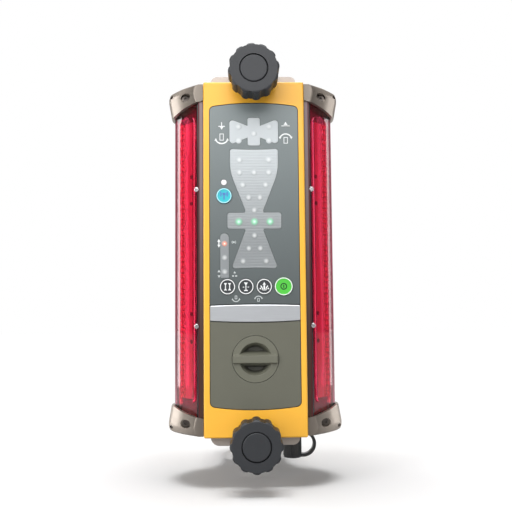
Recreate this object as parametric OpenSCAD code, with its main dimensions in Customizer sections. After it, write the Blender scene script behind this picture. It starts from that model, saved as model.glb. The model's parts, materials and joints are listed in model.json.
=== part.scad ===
// Laser receiver for a mast: a two-shell housing with a keypad, lamp displays and a battery
// holder, red side windows over photodiode columns, and two knob-driven mast clamps.
// Millimetres. Every piece is drawn with depth measured back from the front face and height
// measured from mid-body, and is then moved so that the mast's axis is the origin.

/* [Body] */
// Width of the flat housing front
body_w = 86; // [84:1:90]
// Depth from the front face to the rear face
body_d = 80; // [80:1:88]
// Depth of the front shell, as a share of the housing's depth
front_shell_share = 0.475; // [0.45:0.005:0.525]
// Thickness of the shells' side and rear walls
shell_wall = 3; // [2.5:0.5:3.5]
// Thickness of the seal between the shells
seal_t = 1.6; // [1:0.2:2]

/* [Display panel] */
// Width of the housing's border beside the panel, name bar and battery door
face_margin = 5.5; // [5:0.1:6]
// Height of the panel at its corners
panel_h = 168.4; // [160:0.2:176]
// Distance from the housing's top to the panel's upper corners
panel_margin = 22; // [20:1:24]
// Rise of the panel's crowned top edge
panel_crown = 3.2; // [1:0.2:4]
// Width of the grade arrows, as a share of the panel's width
arrow_share = 0.5413; // [0.51:0.001:0.57]
// Width of the level bar across the grade display, as a share of the panel's width
level_share = 0.608; // [0.59:0.001:0.64]
// Width of the tilt display, as a share of the panel's width
tilt_share = 0.552; // [0.51:0.001:0.58]
// Diameter of the round lamps
lamp_d = 5; // [4:0.2:6]

/* [Keys] */
// Diameter of the wireless key and the function keys, as a share of the panel's width
key_share = 0.171; // [0.147:0.001:0.178]
// Diameter of the power key, as a share of the panel's width
power_key_share = 0.2; // [0.187:0.001:0.213]
// Distance between the function keys, as a share of the panel's width
key_pitch_share = 0.2047; // [0.2027:0.0005:0.208]
// How far a key stands out of the panel
key_proud = 0.8; // [0.7:0.1:1.2]

/* [Battery holder] */
// Height of the door at its corners
door_h = 69.6; // [68:0.2:72]
// Distance from the door's lower corners to the housing's foot
foot_margin = 26.1; // [24:0.1:28]
// Width of the door's border beside the opening behind it
bay_side = 5.8; // [5:0.1:5.8]
// Height of the door's border above and below the opening
bay_end = 7.8; // [7.4:0.1:8.2]
// Diameter of the latch disc
latch_d = 38.6; // [36:0.2:40]

/* [Windows] */
// How far a window stands out from the housing's side
window_out = 27.5; // [26.5:0.5:29.5]
// Distance from the housing's ends to a window's ends
window_margin = 16; // [15:0.5:18]
// Thickness of a window's wall
window_wall = 2.5; // [2:0.1:3]
// Distance from a window's ends to the ends of its sensing column
sensor_margin = 14; // [8:0.5:16]
// Distance between the photodiodes
diode_pitch = 4.7; // [4.6:0.1:5.4]
// Thickness of the side frames
side_frame_t = 4.5; // [4:0.5:5]

/* [Corner guards] */
// How far a guard flares out past the window
guard_flare = 5; // [4:0.2:6]
// Distance from the housing's end to a guard's edge beside the housing
guard_inner_drop = 16; // [15:0.5:18]
// Distance from the housing's end to a guard's edge at the outside
guard_outer_drop = 23; // [21:0.5:25]

/* [Mast clamp] */
// Diameter of the largest mast
mast_d = 50; // [48:0.5:52]
// Travel of a jaw
jaw_travel = 12; // [8:1:13]
// Diameter of a clamp screw
screw_d = 10; // [8:0.5:10]
// Height of a clamp's yoke
yoke_h = 30; // [26:1:32]
// Thickness of a yoke's arms
yoke_t = 10; // [8:0.5:12]
// Diameter of a knob over its lobes
knob_d = 42.6; // [41:0.2:44]
// Depth of a knob
knob_depth = 25.8; // [24:0.2:28]
// Number of lobes on a knob
knob_lobes = 12; // [10:1:14]

/* [Connector] */
// Outside diameter of the connector's shell
connector_d = 13; // [12:0.2:13.4]
// Outside diameter of the dust cap
dust_cap_d = 16.4; // [16:0.2:17]

/* [Hidden] */
$fn = 48;
over = 1;
fit_gap = 0.3;
slip_gap = 0.4;
seat_gap = 0.1;
corner_steps = 5;
bow_steps = 8;
thin = 0.6;

// Housing
face_gap = 0.5;
face_w = body_w - face_margin * 2;
bar_h = 12.9;
body_h = panel_margin + panel_h + bar_h + door_h + face_gap * 2 + foot_margin;
mid_d = body_d / 2;
top_z = body_h / 2;
body_corner_r = 2;
body_front_r = 1.6;
recess_d = 1.6;
front_wall = 4;
cavity_half_h = top_z - 13;
split_d = body_d * front_shell_share;
rear_start_d = split_d + seal_t;
seal_inset = 1;
boss_r = 4;
boss_bore_r = 1.7;
boss_x = body_w / 2 - 6;
boss_z = top_z - 22;
boss_mid_z = 10;
housing_head_r = 3;
housing_head_sink = 3;
housing_screw_grip = 12;
hex_r = 1.5;
hex_depth = 1.6;
standoff_r = 2.6;
board_w = face_w - 11;
standoff_high = [board_w / 2 - 3, 9];
standoff_low = [face_w * 0.204, 4.6];

// Pieces in the front recess
face_inset = 0.2;
face_t = recess_d - face_inset;
face_corner_r = 4;
small_corner_r = 0.8;
panel_top = top_z - panel_margin;
panel_low = panel_top - panel_h;
bar_sag = 1.2;
bar_rise = 0.8;
bar_top = panel_low - face_gap;
bar_low = bar_top - bar_h;
door_top = bar_low - face_gap;
door_low = door_top - door_h;
door_crown = 3;
opening_gap = 0.2;
lens_back_d = front_wall;

// Tilt display, in shares of the panel
tilt_w = face_w * tilt_share;
tilt_z = panel_top - panel_h * 0.1271;
tilt_wing_h = panel_h * 0.1324;
tilt_neck_h = panel_h * 0.0594;
tilt_bar_w = tilt_w * 0.256;
tilt_bar_h = panel_h * 0.1425;
tilt_wing_r = 2.6;
tilt_bar_r = 1.8;

// Grade display, in shares of the panel
arrow_w = face_w * arrow_share;
level_w = face_w * level_share;
grade_top = panel_top - panel_h * 0.2144;
arrow_block_h = panel_h * 0.1182;
arrow_taper_h = panel_h * 0.1918;
neck_w = arrow_w * 0.3793;
level_z = panel_top - panel_h * 0.5802;
level_h = panel_h * 0.0814;
low_neck_z = level_z - panel_h * 0.0511;
low_taper_h = panel_h * 0.19;
low_arrow_w = arrow_w * 0.966;
lens_corner_r = 2.2;
lens_fillet_r = 0.8;
shoulder_r = 40;
lens_dip = 0.8;
rib_pitch = 2.4;
rib_rise = 0.13;
rib_steps = 6;

// Lamps
lamp_first_up = panel_h * 0.0582;
lamp_first_down = panel_h * 0.0713;
lamp_row = panel_h * 0.0647;
lamp_step = arrow_w * 0.1207;
lamp_wide = arrow_w * 0.3079;
level_lamp_x = level_w * 0.2917;
lamp_front_d = 6;
lamp_dome_h = 1.4;
tilt_lamp_x = tilt_w * 0.314;
tilt_lamp_z = panel_h * 0.0356;

// Keys
key_d = face_w * key_share;
power_key_d = face_w * power_key_share;
key_pitch = face_w * key_pitch_share;
key_row_z = panel_top - panel_h * 0.9103;
first_key_x = face_w * -0.3053;
power_key_x = face_w * 0.3213;
wireless_at = [face_w * -0.34, panel_top - panel_h * 0.4543];
key_stroke = 0.6;
key_flange = 1.1;
key_flange_t = 1;
key_dish = 0.25;
key_dish_shares = [0.78, 0.82];
switch_r = 3;

// Offset lens and wireless indicator
offset_x = face_w * -0.3373;
offset_w = face_w * 0.096;
offset_top = panel_top - panel_h * 0.6431;
offset_key_gap = 1.2;
offset_low = key_row_z + key_d / 2 + offset_key_gap;
offset_lamp_z = panel_top - panel_h * 0.6912;
offset_lamp_row = panel_h * 0.0713;
offset_lamps = 3;
indicator_rise = 5.2;
indicator_at = [face_w * -0.3413, wireless_at[1] + key_d / 2 + indicator_rise];
indicator_r = 2.3;

// Main board
board_d = 9;
board_t = 1.6;
board_top = panel_top - 4;
board_low = panel_low + 1;
switch_gap = 0.2;
key_back_d = front_wall + fit_gap + key_flange_t;
switch_front_d = key_back_d + key_stroke + switch_gap;
board_screw_r = 1.2;
board_screw_head_r = 2.4;
board_screw_head_t = 1.6;
chip_t = 2;
chip = [14, 14];
chip_drops = [panel_h * 0.57, panel_h * 0.38];
radio = [24, 18];
radio_t = 3.4;
radio_at = [face_w * -0.2133, 22];
sounder_r = 10;
sounder_t = 7;
sounder_at = [face_w * 0.2133, 22];

// Battery holder
bay_w = face_w - bay_side * 2;
bay_opening_h = door_h - bay_end * 2;
cell_gap = 0.4;
cell_d = min(bay_opening_h / 2 - cell_gap * 2, body_d * 0.3275);
cell_l = bay_w - 13.4;
latch_z = door_top - door_h * 0.4483;
rim_t = 1;
door_seal_t = recess_d - face_inset - rim_t;
door_seal_w = 1.6;
plug_back_d = front_wall + 5.4;
bay_inside_h = bay_opening_h + 7.4;
bay_wall = 1.6;
latch_gap = 0.3;
latch_disc_t = 8.4;
latch_shaft_r = 4;
dish_r = latch_d / 2 - 5.6;
dish_floor_r = dish_r - 3.7;
dish_depth = 7.2;
grip_l = latch_d - 2;
grip_front_h = 5.8;
grip_base_h = 14.4;
grip_proud = 2.6;
tongue_clear = 2.7;
tongue_half = bay_w / 2 - tongue_clear;
tongue_w = 10;
tongue_t = 3;
tongue_corner_r = 3;
catch_w = 24;
tongue_front_d = plug_back_d + 0.2;
cell_front_d = tongue_front_d + tongue_t + 0.8;
cell_nub_r = 3.4;
cell_nub_h = 1;
contact_r = 7;
tray_side_t = 1.5;
tray_block_t = 2.4;
tray_back_t = 1.5;
tray_h = bay_opening_h - 14;
tray_half_w = bay_w / 2 - slip_gap;
cell_rows_d = [cell_front_d + cell_d / 2, cell_front_d + cell_d * 3 / 2 + cell_gap];
cell_rows_z = (cell_d + cell_gap) / 2;
tray_back_d = cell_front_d + cell_d * 2 + cell_gap + cell_gap;
bay_back_d = tray_back_d + tray_back_t + slip_gap + slip_gap;
bay_contact = [8, 16];
bay_contact_x = bay_w * 0.2524;
bay_contact_t = bay_back_d - tray_back_d - tray_back_t - seat_gap;

// Windows and sensors
guard_top_z = top_z - 1.2;
guard_seam = 0.4;
guard_x = body_w / 2 + fit_gap;
window_reach = body_w / 2 + window_out;
window_h = body_h - window_margin * 2;
sensor_h = window_h - sensor_margin * 2;
frame_x = body_w / 2 + side_frame_t;
frame_set = 4;
gasket_t = 0.8;
window_x = frame_x + gasket_t;
window_set = 6;
window_flat = 8;
window_r = 15;
facet_rise = mid_d - window_set - window_flat;
facet_run = window_reach - frame_x;
facet_angle = atan2(facet_rise, facet_run);
facet_l = norm([facet_run, facet_rise]);
facet_nx = facet_rise / facet_l;
facet_nh = facet_run / facet_l;
facet_c = facet_nx * window_reach + facet_nh * window_flat;
crease_share = 0.706;
crease_turn = 10;
crease_x = frame_x + facet_run * crease_share;
crease_h = mid_d - window_set - facet_rise * crease_share;
edge_nx = sin(facet_angle + crease_turn);
edge_nh = cos(facet_angle + crease_turn);
band_w = 19.2;
band_h = sensor_h + 5;
band_s = 14.2;
band_t = 1.6;
band_r = 5;
sensor_air = 3.2;
sensor_board_t = 1.6;
sensor_board_w = 16.5;
sensor_board_s = 21.5;
diode_s = 26.5;
diode = [3.2, 1.4, 3];
carrier_inset = window_wall + sensor_air + sensor_board_t;
carrier_wall = 3;
carrier_end_z = guard_top_z - 3.2;
carrier_end_inset = 3.2;
window_screw_x = frame_x + 1.6;
window_screw_z = window_h * 0.2172;
window_screw_r = 1.3;
window_screw_head_r = 2.2;
window_screw_head_t = 1.7;
window_screw_floor = 8.4;
window_screw_l = 9.5;
frame_lug = [3.4, 5, 9];
frame_lug_d = mid_d - facet_h(frame_x + frame_lug[0], window_wall) + fit_gap;

// Guards
guard_lip = 1.2;
guard_bulge = 2;
guard_bend_r = 4;
guard_knee_r = 50;
guard_end_r = 20;
guard_edge_bow = 1.2;
guard_skirt = 8;
guard_front_d = 2.6;
guard_inner_z = top_z - guard_inner_drop;
guard_outer_z = top_z - guard_outer_drop;
guard_wide_z = top_z - 5.6;
guard_wide_h = 3.4;
guard_shoulder_out = 4.1;
guard_shoulder_h = 1.4;
guard_top_out = 2;
guard_screw_x = frame_x + 11.5;
guard_screw_z = top_z - 10.5;
guard_screw_r = 2;
guard_screw_head_r = 3;
guard_screw_head_t = 3;
guard_bore_r = 3.4;
guard_bore_slot = 0.9;
guard_bore_floor = 17.6;
guard_screw_l = 14;
guard_hole_r = 1.5;
guard_hole_x = window_reach + 1.8;
guard_hole_z = top_z - 5.6;

// Mast clamp
mast_r = mast_d / 2;
seat_r = mast_r + seat_gap;
v_half = 60;
jaw_rest_gap = 0.5;
jaw_core = 14;
jaw_open = 3;
plate_t = 10;
plate_w = body_w - 4;
plate_h = 38;
plate_r = 8;
plate_back_d = body_d + plate_t;
jaw_front_d = plate_back_d + jaw_rest_gap;
jaw_apex_d = jaw_front_d + jaw_core;
mast_depth = jaw_apex_d + jaw_open + mast_r / sin(v_half);
clamp_z = top_z + 2;
end_plate_t = 7;
end_plate_w = body_w - 12.4;
end_plate_r = 5.5;
end_plate_front_d = 8;
boss_outer_r = 11;
boss_front_d = -3.4;
groove_r = boss_outer_r + fit_gap;
screw_gap = 0.3;
sleeve_r = 7;
sleeve_grip = 10;
sleeve_l = jaw_travel + sleeve_grip;
sleeve_in_jaw = 8;
screw_in_jaw = 4;
sleeve_bore_d = plate_back_d - sleeve_l - 4;
ring_t = 1.2;
ring_r = 6.6;
knob_back_d = boss_front_d - fit_gap;
knob_front_d = knob_back_d - knob_depth;
lobe_r = 4.2;
lobe_depth = 1.6;
knob_neck_l = 5.6;
upper_knob_turn = 7;
knob_edge_r = 2.2;
knob_cap_r = 11.4;
knob_cap_gap = 0.6;
knob_cap_t = 2.8;
knob_cap_edge = 0.7;
knob_cap_rim = 2.1;
knob_hollow_r = 14;
knob_hollow_d = 12;
knob_hub_r = 9;
jaw_gap = 0.5;
jaw_w = (seat_r - jaw_gap) * 2;
jaw_h = yoke_h - 2;
bolt_inset = 9.8;
bolt_x = end_plate_w / 2 - bolt_inset;
bolt_ds = [20, 34];
bolt_r = 2.5;
bolt_head_r = 4.6;
bolt_l = 15;

// Connector
connector_side = 9.6;
connector_back = 26;
connector_at = [body_w / 2 - connector_side, body_d - connector_back];
connector_hole_r = 5.2;
flange_r = 8.8;
flange_t = 2.5;
shell_l = 15;
shell_bore_r = 5.2;
shell_bore_l = 10;
pin_r = 0.6;
pin_ring_r = 3;
pin_count = 5;
pin_l = 7;
nut_r = 6.2;
nut_t = 4;
notch_x = connector_at[0] - 12.4;
notch_ds = [connector_at[1] - 13, connector_at[1] + 13];
collar_t = 2.4;
collar_gap = 0.2;
cap_bore_r = connector_d / 2 + fit_gap;
cap_top = flange_t + collar_t + collar_gap * 3;
cap_low = 26;
cap_floor = 3;
cap_rib_r = 0.7;
cap_ribs = 24;
strap_w = 6;
strap_t = 2.8;
strap_x = 9.6;

// One corner b between a and c, rounded by r
function unit(v) = v / norm(v);
function round_corner(a, b, c, r) =
  r == 0 ? [b] :
  let (
    to_a = unit(a - b),
    to_c = unit(c - b),
    half = acos(to_a * to_c) / 2,
    centre = b + unit(to_a + to_c) * r / sin(half),
    start = b + to_a * r / tan(half) - centre,
    end = b + to_c * r / tan(half) - centre,
    turn = 180 - 2 * half
  )
  [for (i = [0 : corner_steps])
    let (s = i / corner_steps)
    centre + (start * sin((1 - s) * turn) + end * sin(s * turn)) / sin(turn)];

// An outline whose corners have the radii in the list
function rounded(points, radii) =
  let (n = len(points))
  [for (i = [0 : n - 1])
    each round_corner(points[(i + n - 1) % n], points[i], points[(i + 1) % n], radii[i])];

// Points of a bowed edge between its two ends
function bow(x0, x1, z, rise) =
  [for (i = [1 : bow_steps - 1])
    let (s = i / bow_steps)
    [x0 + (x1 - x0) * s, z + rise * (1 - pow(2 * s - 1, 2))]];

// A box outline with bowed lower and upper edges and rounded corners
function bowed_box(w, low, high, low_bow, high_bow, low_r, high_r) =
  let (
    h = w / 2,
    plain = [for (i = [1 : bow_steps - 1]) 0]
  )
  rounded(
    concat([[-h, low]], bow(-h, h, low, low_bow), [[h, low], [h, high]],
      bow(h, -h, high, high_bow), [[-h, high]]),
    concat([low_r], plain, [low_r, high_r], plain, [high_r]));

function box_outline(w, low, high, r) =
  rounded([[-w / 2, low], [w / 2, low], [w / 2, high], [-w / 2, high]], [r, r, r, r]);

// Half depth of a window's facet at width x, with its walls moved in by e
function facet_h(x, e) = (facet_c - e - facet_nx * x) / facet_nh;

// Plan of a window, right side, its walls moved in by e. Its facets turn to the side at a crease.
function window_plan(x0, e) =
  let (
    reach = window_reach - e,
    base = facet_h(x0, e),
    shift = e / (1 + facet_nx * edge_nx + facet_nh * edge_nh),
    turn_x = crease_x - (facet_nx + edge_nx) * shift,
    turn_h = crease_h - (facet_nh + edge_nh) * shift,
    flat = turn_h - (reach - turn_x) * edge_nx / edge_nh,
    r = max(window_r - e, small_corner_r)
  )
  rounded([[x0, mid_d - base], [turn_x, mid_d - turn_h], [reach, mid_d - flat],
    [reach, mid_d + flat], [turn_x, mid_d + turn_h], [x0, mid_d + base]], [0, 0, r, r, 0, 0]);

// Plan of a guard, right side, flared out by e, with a knee where its sides bulge
function guard_plan(e) =
  let (
    reach = window_reach + e,
    flat = facet_h(reach, -e),
    half = mid_d - guard_front_d,
    bend = (facet_c + e - facet_nh * half) / facet_nx,
    knee_x = (bend + reach) / 2 + facet_nx * guard_bulge,
    knee = (half + flat) / 2 + facet_nh * guard_bulge
  )
  rounded([[guard_x, mid_d - half], [bend, mid_d - half], [knee_x, mid_d - knee],
    [reach, mid_d - flat], [reach, mid_d + flat], [knee_x, mid_d + knee], [bend, mid_d + half],
    [guard_x, mid_d + half]],
    [0, guard_bend_r, guard_knee_r, guard_end_r, guard_end_r, guard_knee_r, guard_bend_r, 0]);

// Bowed lower edge of a guard, from the housing out to the window's reach
function guard_edge() =
  [for (i = [0 : bow_steps])
    let (s = i / bow_steps)
    [body_w / 2 + window_out * s, guard_inner_z + (guard_outer_z - guard_inner_z) * s
      + guard_edge_bow * (1 - pow(2 * s - 1, 2))]];

// Outline of the tilt display, grown by gap
function tilt_outline(gap) =
  let (
    w = tilt_w / 2 + gap,
    wing = tilt_wing_h / 2 + gap,
    neck = tilt_neck_h / 2 + gap,
    bar = tilt_bar_w / 2 + gap,
    high = tilt_bar_h / 2 + gap,
    r = tilt_wing_r,
    s = tilt_bar_r,
    points = [[-w, -wing], [-bar, -neck], [-bar, -high], [bar, -high], [bar, -neck], [w, -wing],
      [w, wing], [bar, neck], [bar, high], [-bar, high], [-bar, neck], [-w, wing]]
  )
  [for (p = rounded(points, [r, 0, s, s, 0, r, r, 0, s, s, 0, r])) p + [0, tilt_z]];

// Outline of the grade display: an arrow, the level bar and a lower arrow with a hollow foot
function grade_outline(gap) =
  let (
    arrow = arrow_w / 2 + gap,
    neck = neck_w / 2 + gap,
    level = level_w / 2 + gap,
    low = low_arrow_w / 2 + gap,
    high = grade_top + gap,
    shoulder = grade_top - arrow_block_h,
    waist = shoulder - arrow_taper_h,
    level_top = level_z + level_h / 2 + gap,
    level_low = level_z - level_h / 2 - gap,
    foot = low_neck_z - low_taper_h - gap,
    plain = [for (i = [1 : bow_steps - 1]) 0],
    r = lens_corner_r,
    f = lens_fillet_r,
    s = shoulder_r
  )
  rounded(
    concat([[-low, foot]], bow(-low, low, foot, lens_dip),
      [[low, foot], [neck, low_neck_z], [neck, level_low], [level, level_low],
        [level, level_top], [neck, level_top], [neck, waist], [arrow, shoulder], [arrow, high]],
      bow(arrow, -arrow, high, -lens_dip),
      [[-arrow, high], [-arrow, shoulder], [-neck, waist], [-neck, level_top],
        [-level, level_top], [-level, level_low], [-neck, level_low], [-neck, low_neck_z]]),
    concat([r], plain, [r, 0, f, r, r, f, 0, s, r], plain, [r, s, 0, f, r, r, f, 0]));

// Outline of the offset lens, round at its top
function offset_outline(gap) =
  let (
    half = offset_w / 2 + gap,
    round_r = half - seat_gap,
    r = small_corner_r
  )
  [for (p = rounded([[-half, offset_low - gap], [half, offset_low - gap], [half, offset_top + gap],
    [-half, offset_top + gap]], [r, r, round_r, round_r])) p + [offset_x, 0]];

// Places of the lamps, keys, bosses and standoffs
lamp_up_rows = [[0], [-lamp_step, lamp_step], [-lamp_step * 2, lamp_step * 2],
  [-lamp_wide, 0, lamp_wide], [-lamp_wide, lamp_wide]];
lamp_down_rows = [[0], [-lamp_step, lamp_step], [-lamp_step * 2, lamp_step * 2]];
key_places = [wireless_at, [first_key_x, key_row_z], [first_key_x + key_pitch, key_row_z],
  [first_key_x + key_pitch * 2, key_row_z], [power_key_x, key_row_z]];
key_radii = [key_d / 2, key_d / 2, key_d / 2, key_d / 2, power_key_d / 2];
boss_places = [for (x = [-boss_x, boss_x]) for (z = [-boss_z, boss_mid_z, boss_z]) [x, z]];
standoff_places = [for (s = [-1, 1])
  each [[s * standoff_high[0], panel_top - standoff_high[1]],
    [s * standoff_low[0], panel_low + standoff_low[1]]]];

// From depth and height to the mast's frame
module place() {
  translate([0, -mast_depth, 0]) children();
}

// A plate cut from an outline in width and height, from depth d, t thick
module plate(d, t) {
  translate([0, d + t, 0]) rotate([90, 0, 0]) linear_extrude(t) children();
}

// A round bar along the depth from d0 to d1
module rod(at, r, d0, d1) {
  translate([at[0], d1, at[1]]) rotate([90, 0, 0]) cylinder(r = r, h = d1 - d0);
}

// An upright prism cut from a plan, from height z0 to z1
module upright(z0, z1) {
  translate([0, 0, z0]) linear_extrude(z1 - z0) children();
}

module both_sides() {
  children();
  mirror([1, 0, 0]) children();
}

module both_ends() {
  children();
  mirror([0, 0, 1]) children();
}

module front_and_rear() {
  children();
  translate([0, body_d, 0]) mirror([0, 1, 0]) children();
}

// Grooves at the housing's ends for the bosses of the clamp brackets
module housing_grooves() {
  both_ends() rod([0, clamp_z], groove_r, -over, body_d + over);
}

module cavity(d0, d1) {
  plate(d0, d1 - d0) square([body_w - shell_wall * 2, cavity_half_h * 2], center = true);
}

// Openings for the lenses and keys
module display_cuts(d0, d1) {
  plate(d0, d1 - d0) polygon(tilt_outline(opening_gap));
  plate(d0, d1 - d0) polygon(grade_outline(opening_gap));
  plate(d0, d1 - d0) polygon(offset_outline(opening_gap));
  rod(indicator_at, indicator_r + opening_gap, d0, d1);
  for (i = [0 : len(key_places) - 1]) rod(key_places[i], key_radii[i] + fit_gap, d0, d1);
}

module bolt_holes() {
  both_ends() both_sides() for (d = bolt_ds)
    translate([bolt_x, d, top_z + end_plate_t - bolt_l - seat_gap])
      cylinder(r = bolt_r + seat_gap, h = bolt_l + over);
}

module front_housing() {
  half = body_w / 2;
  r = body_front_r;
  recess_r = face_corner_r + face_gap;
  color("gold") difference() {
    union() {
      difference() {
        intersection() {
          plate(0, split_d) polygon(box_outline(body_w, -top_z, top_z, body_corner_r));
          upright(-top_z, top_z) polygon(rounded(
            [[-half, 0], [half, 0], [half, split_d], [-half, split_d]], [r, r, 0, 0]));
          translate([-half, 0, 0]) rotate([90, 0, 90]) linear_extrude(body_w) polygon(rounded(
            [[0, -top_z], [split_d, -top_z], [split_d, top_z], [0, top_z]], [r, 0, 0, r]));
        }
        cavity(front_wall, split_d + over);
      }
      for (at = boss_places) rod(at, boss_r, front_wall - thin, split_d);
      for (at = standoff_places) rod(at, standoff_r, front_wall - thin, board_d);
    }
    plate(-over, recess_d + over) polygon(bowed_box(face_w + face_gap * 2, door_low - face_gap,
      panel_top + face_gap, -door_crown, panel_crown, recess_r, recess_r));
    display_cuts(-over, front_wall + over);
    plate(-over, front_wall + over * 2) polygon(box_outline(bay_w, latch_z - bay_opening_h / 2,
      latch_z + bay_opening_h / 2, small_corner_r));
    for (at = boss_places) rod(at, boss_bore_r, front_wall + over, split_d + over);
    for (at = standoff_places) rod(at, board_screw_r + seat_gap, front_wall + thin, board_d + over);
    housing_grooves();
    bolt_holes();
  }
}

module rear_housing() {
  color("gold") difference() {
    union() {
      difference() {
        plate(rear_start_d, body_d - rear_start_d)
          polygon(box_outline(body_w, -top_z, top_z, body_corner_r));
        cavity(rear_start_d - over, body_d - shell_wall);
      }
      for (at = boss_places) rod(at, boss_r, rear_start_d, body_d - thin);
    }
    for (at = boss_places) {
      rod(at, boss_bore_r + seat_gap, rear_start_d - over, body_d + over);
      rod(at, housing_head_r + seat_gap, body_d - housing_head_sink, body_d + over);
    }
    housing_grooves();
    upright(-top_z - over, -cavity_half_h + over) translate(connector_at)
      circle(r = connector_hole_r);
  }
}

module housing_seal() {
  color("black") difference() {
    plate(split_d, seal_t) polygon(box_outline(body_w - seal_inset * 2, -top_z + seal_inset,
      top_z - seal_inset, body_corner_r));
    cavity(split_d - over, rear_start_d + over);
    housing_grooves();
  }
}

module housing_screws() {
  color("silver") for (at = boss_places) difference() {
    union() {
      rod(at, boss_bore_r - seat_gap, split_d - housing_screw_grip, body_d - housing_head_sink);
      rod(at, housing_head_r, body_d - housing_head_sink, body_d - seat_gap);
    }
    translate([at[0], body_d + over, at[1]]) rotate([90, 0, 0])
      cylinder(r = hex_r, h = over + hex_depth, $fn = 6);
  }
}

module keypad_panel() {
  color("dimgray") difference() {
    plate(face_inset, face_t) polygon(bowed_box(face_w, panel_low, panel_top, bar_rise,
      panel_crown, small_corner_r, face_corner_r));
    display_cuts(-over, front_wall);
  }
}

module tilt_lens() {
  color("gainsboro") plate(face_inset, lens_back_d - face_inset) polygon(tilt_outline(0));
}

// Points up the front of the grade lens, with a low rounded rib at each step
function rib_points(low, ribs) =
  [for (i = [0 : ribs - 1]) for (j = [0 : rib_steps - 1])
    let (u = j / rib_steps)
    [face_inset + rib_rise * pow(2 * u - 1, 2), low + (i + u) * rib_pitch]];

// The grade lens has ribs across its front
module grade_lens() {
  low = low_neck_z - low_taper_h;
  ribs = ceil((grade_top - low) / rib_pitch) + 1;
  high = low + ribs * rib_pitch;
  color("gainsboro") intersection() {
    plate(-over, lens_back_d + over) polygon(grade_outline(0));
    translate([-level_w, 0, 0]) rotate([90, 0, 90]) linear_extrude(level_w * 2)
      polygon(concat(rib_points(low, ribs), [[face_inset + rib_rise, high], [lens_back_d, high],
        [lens_back_d, low]]));
  }
}

module offset_lens() {
  color("gainsboro") plate(face_inset, lens_back_d - face_inset) polygon(offset_outline(0));
}

module indicator_lens() {
  color("gainsboro") rod(indicator_at, indicator_r, face_inset, lens_back_d);
}

module name_bar() {
  color("silver") plate(face_inset, face_t) polygon(bowed_box(face_w, bar_low, bar_top,
    -bar_sag, bar_rise, small_corner_r, small_corner_r));
}

// A lamp with a domed front, standing on the board
module lamp(at) {
  rod(at, lamp_d / 2, lamp_front_d + lamp_dome_h, board_d);
  translate([at[0], lamp_front_d + lamp_dome_h, at[1]]) rotate([90, 0, 0])
    cylinder(r1 = lamp_d / 2, r2 = lamp_d / 2 - lamp_dome_h, h = lamp_dome_h);
}

module level_lamps() {
  color("lime") for (x = [-level_lamp_x, 0, level_lamp_x]) lamp([x, level_z]);
}

module grade_lamps() {
  color("red") {
    for (i = [0 : len(lamp_up_rows) - 1]) for (x = lamp_up_rows[i])
      lamp([x, level_z + lamp_first_up + lamp_row * i]);
    for (i = [0 : len(lamp_down_rows) - 1]) for (x = lamp_down_rows[i])
      lamp([x, level_z - lamp_first_down - lamp_row * i]);
  }
}

module offset_lamps() {
  color("red") {
    for (i = [0 : offset_lamps - 1]) lamp([offset_x, offset_lamp_z - offset_lamp_row * i]);
    rod(indicator_at, indicator_r - seat_gap, lamp_front_d, board_d);
  }
}

module tilt_lamps() {
  color("orange") {
    for (x = [-tilt_lamp_x, tilt_lamp_x]) for (z = [-tilt_lamp_z, tilt_lamp_z])
      lamp([x, tilt_z + z]);
    lamp([0, tilt_z]);
  }
}

module main_board() {
  color("green") difference() {
    plate(board_d, board_t) polygon(box_outline(board_w, board_low, board_top, body_corner_r));
    for (at = standoff_places)
      rod(at, board_screw_r + seat_gap, board_d - over, board_d + board_t + over);
  }
}

// Key switches on the board's front; chips, radio module and sounder on its back
module board_parts() {
  back_d = board_d + board_t;
  color("dimgray") {
    for (at = key_places) rod(at, switch_r, switch_front_d, board_d);
    for (z = chip_drops) translate([-chip[0] / 2, back_d, panel_top - z])
      cube([chip[0], chip_t, chip[1]]);
    translate([radio_at[0] - radio[0] / 2, back_d, panel_top - radio_at[1] - radio[1] / 2])
      cube([radio[0], radio_t, radio[1]]);
    rod([sounder_at[0], panel_top - sounder_at[1]], sounder_r, back_d, back_d + sounder_t);
  }
}

module board_screws() {
  back_d = board_d + board_t;
  color("silver") for (at = standoff_places) {
    rod(at, board_screw_r, front_wall + over, back_d);
    rod(at, board_screw_head_r, back_d, back_d + board_screw_head_t);
  }
}

// A key with a flange behind the front wall and a shallow dish in its face
module key(i) {
  at = key_places[i];
  r = key_radii[i];
  difference() {
    union() {
      rod(at, r, -key_proud, key_back_d);
      rod(at, r + key_flange, key_back_d - key_flange_t, key_back_d);
    }
    translate([at[0], -key_proud + key_dish, at[1]]) rotate([90, 0, 0])
      cylinder(r1 = r * key_dish_shares[0], r2 = r * key_dish_shares[1], h = key_dish + over);
  }
}
module wireless_key() { color("deepskyblue") key(0); }
module first_key() { color("dimgray") key(1); }
module second_key() { color("dimgray") key(2); }
module third_key() { color("dimgray") key(3); }
module power_key() { color("green") key(4); }

// A box behind the opening, with a ledge above and below that the tongue catches on
module battery_bay() {
  color("black") {
    difference() {
      plate(front_wall, bay_back_d + bay_wall - front_wall) translate([0, latch_z])
        square([bay_w + bay_wall * 2, bay_inside_h + bay_wall * 2], center = true);
      plate(front_wall - over, bay_back_d - front_wall + over) translate([0, latch_z])
        square([bay_w, bay_inside_h], center = true);
    }
    plate(front_wall, plug_back_d - slip_gap - front_wall) translate([0, latch_z]) difference() {
      square([catch_w, bay_inside_h + bay_wall], center = true);
      square([bay_w, bay_opening_h], center = true);
    }
  }
}

module bay_contacts() {
  color("silver") for (x = [-bay_contact_x, bay_contact_x])
    plate(bay_back_d - bay_contact_t, bay_contact_t) translate([x, latch_z])
      square(bay_contact, center = true);
}

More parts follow.
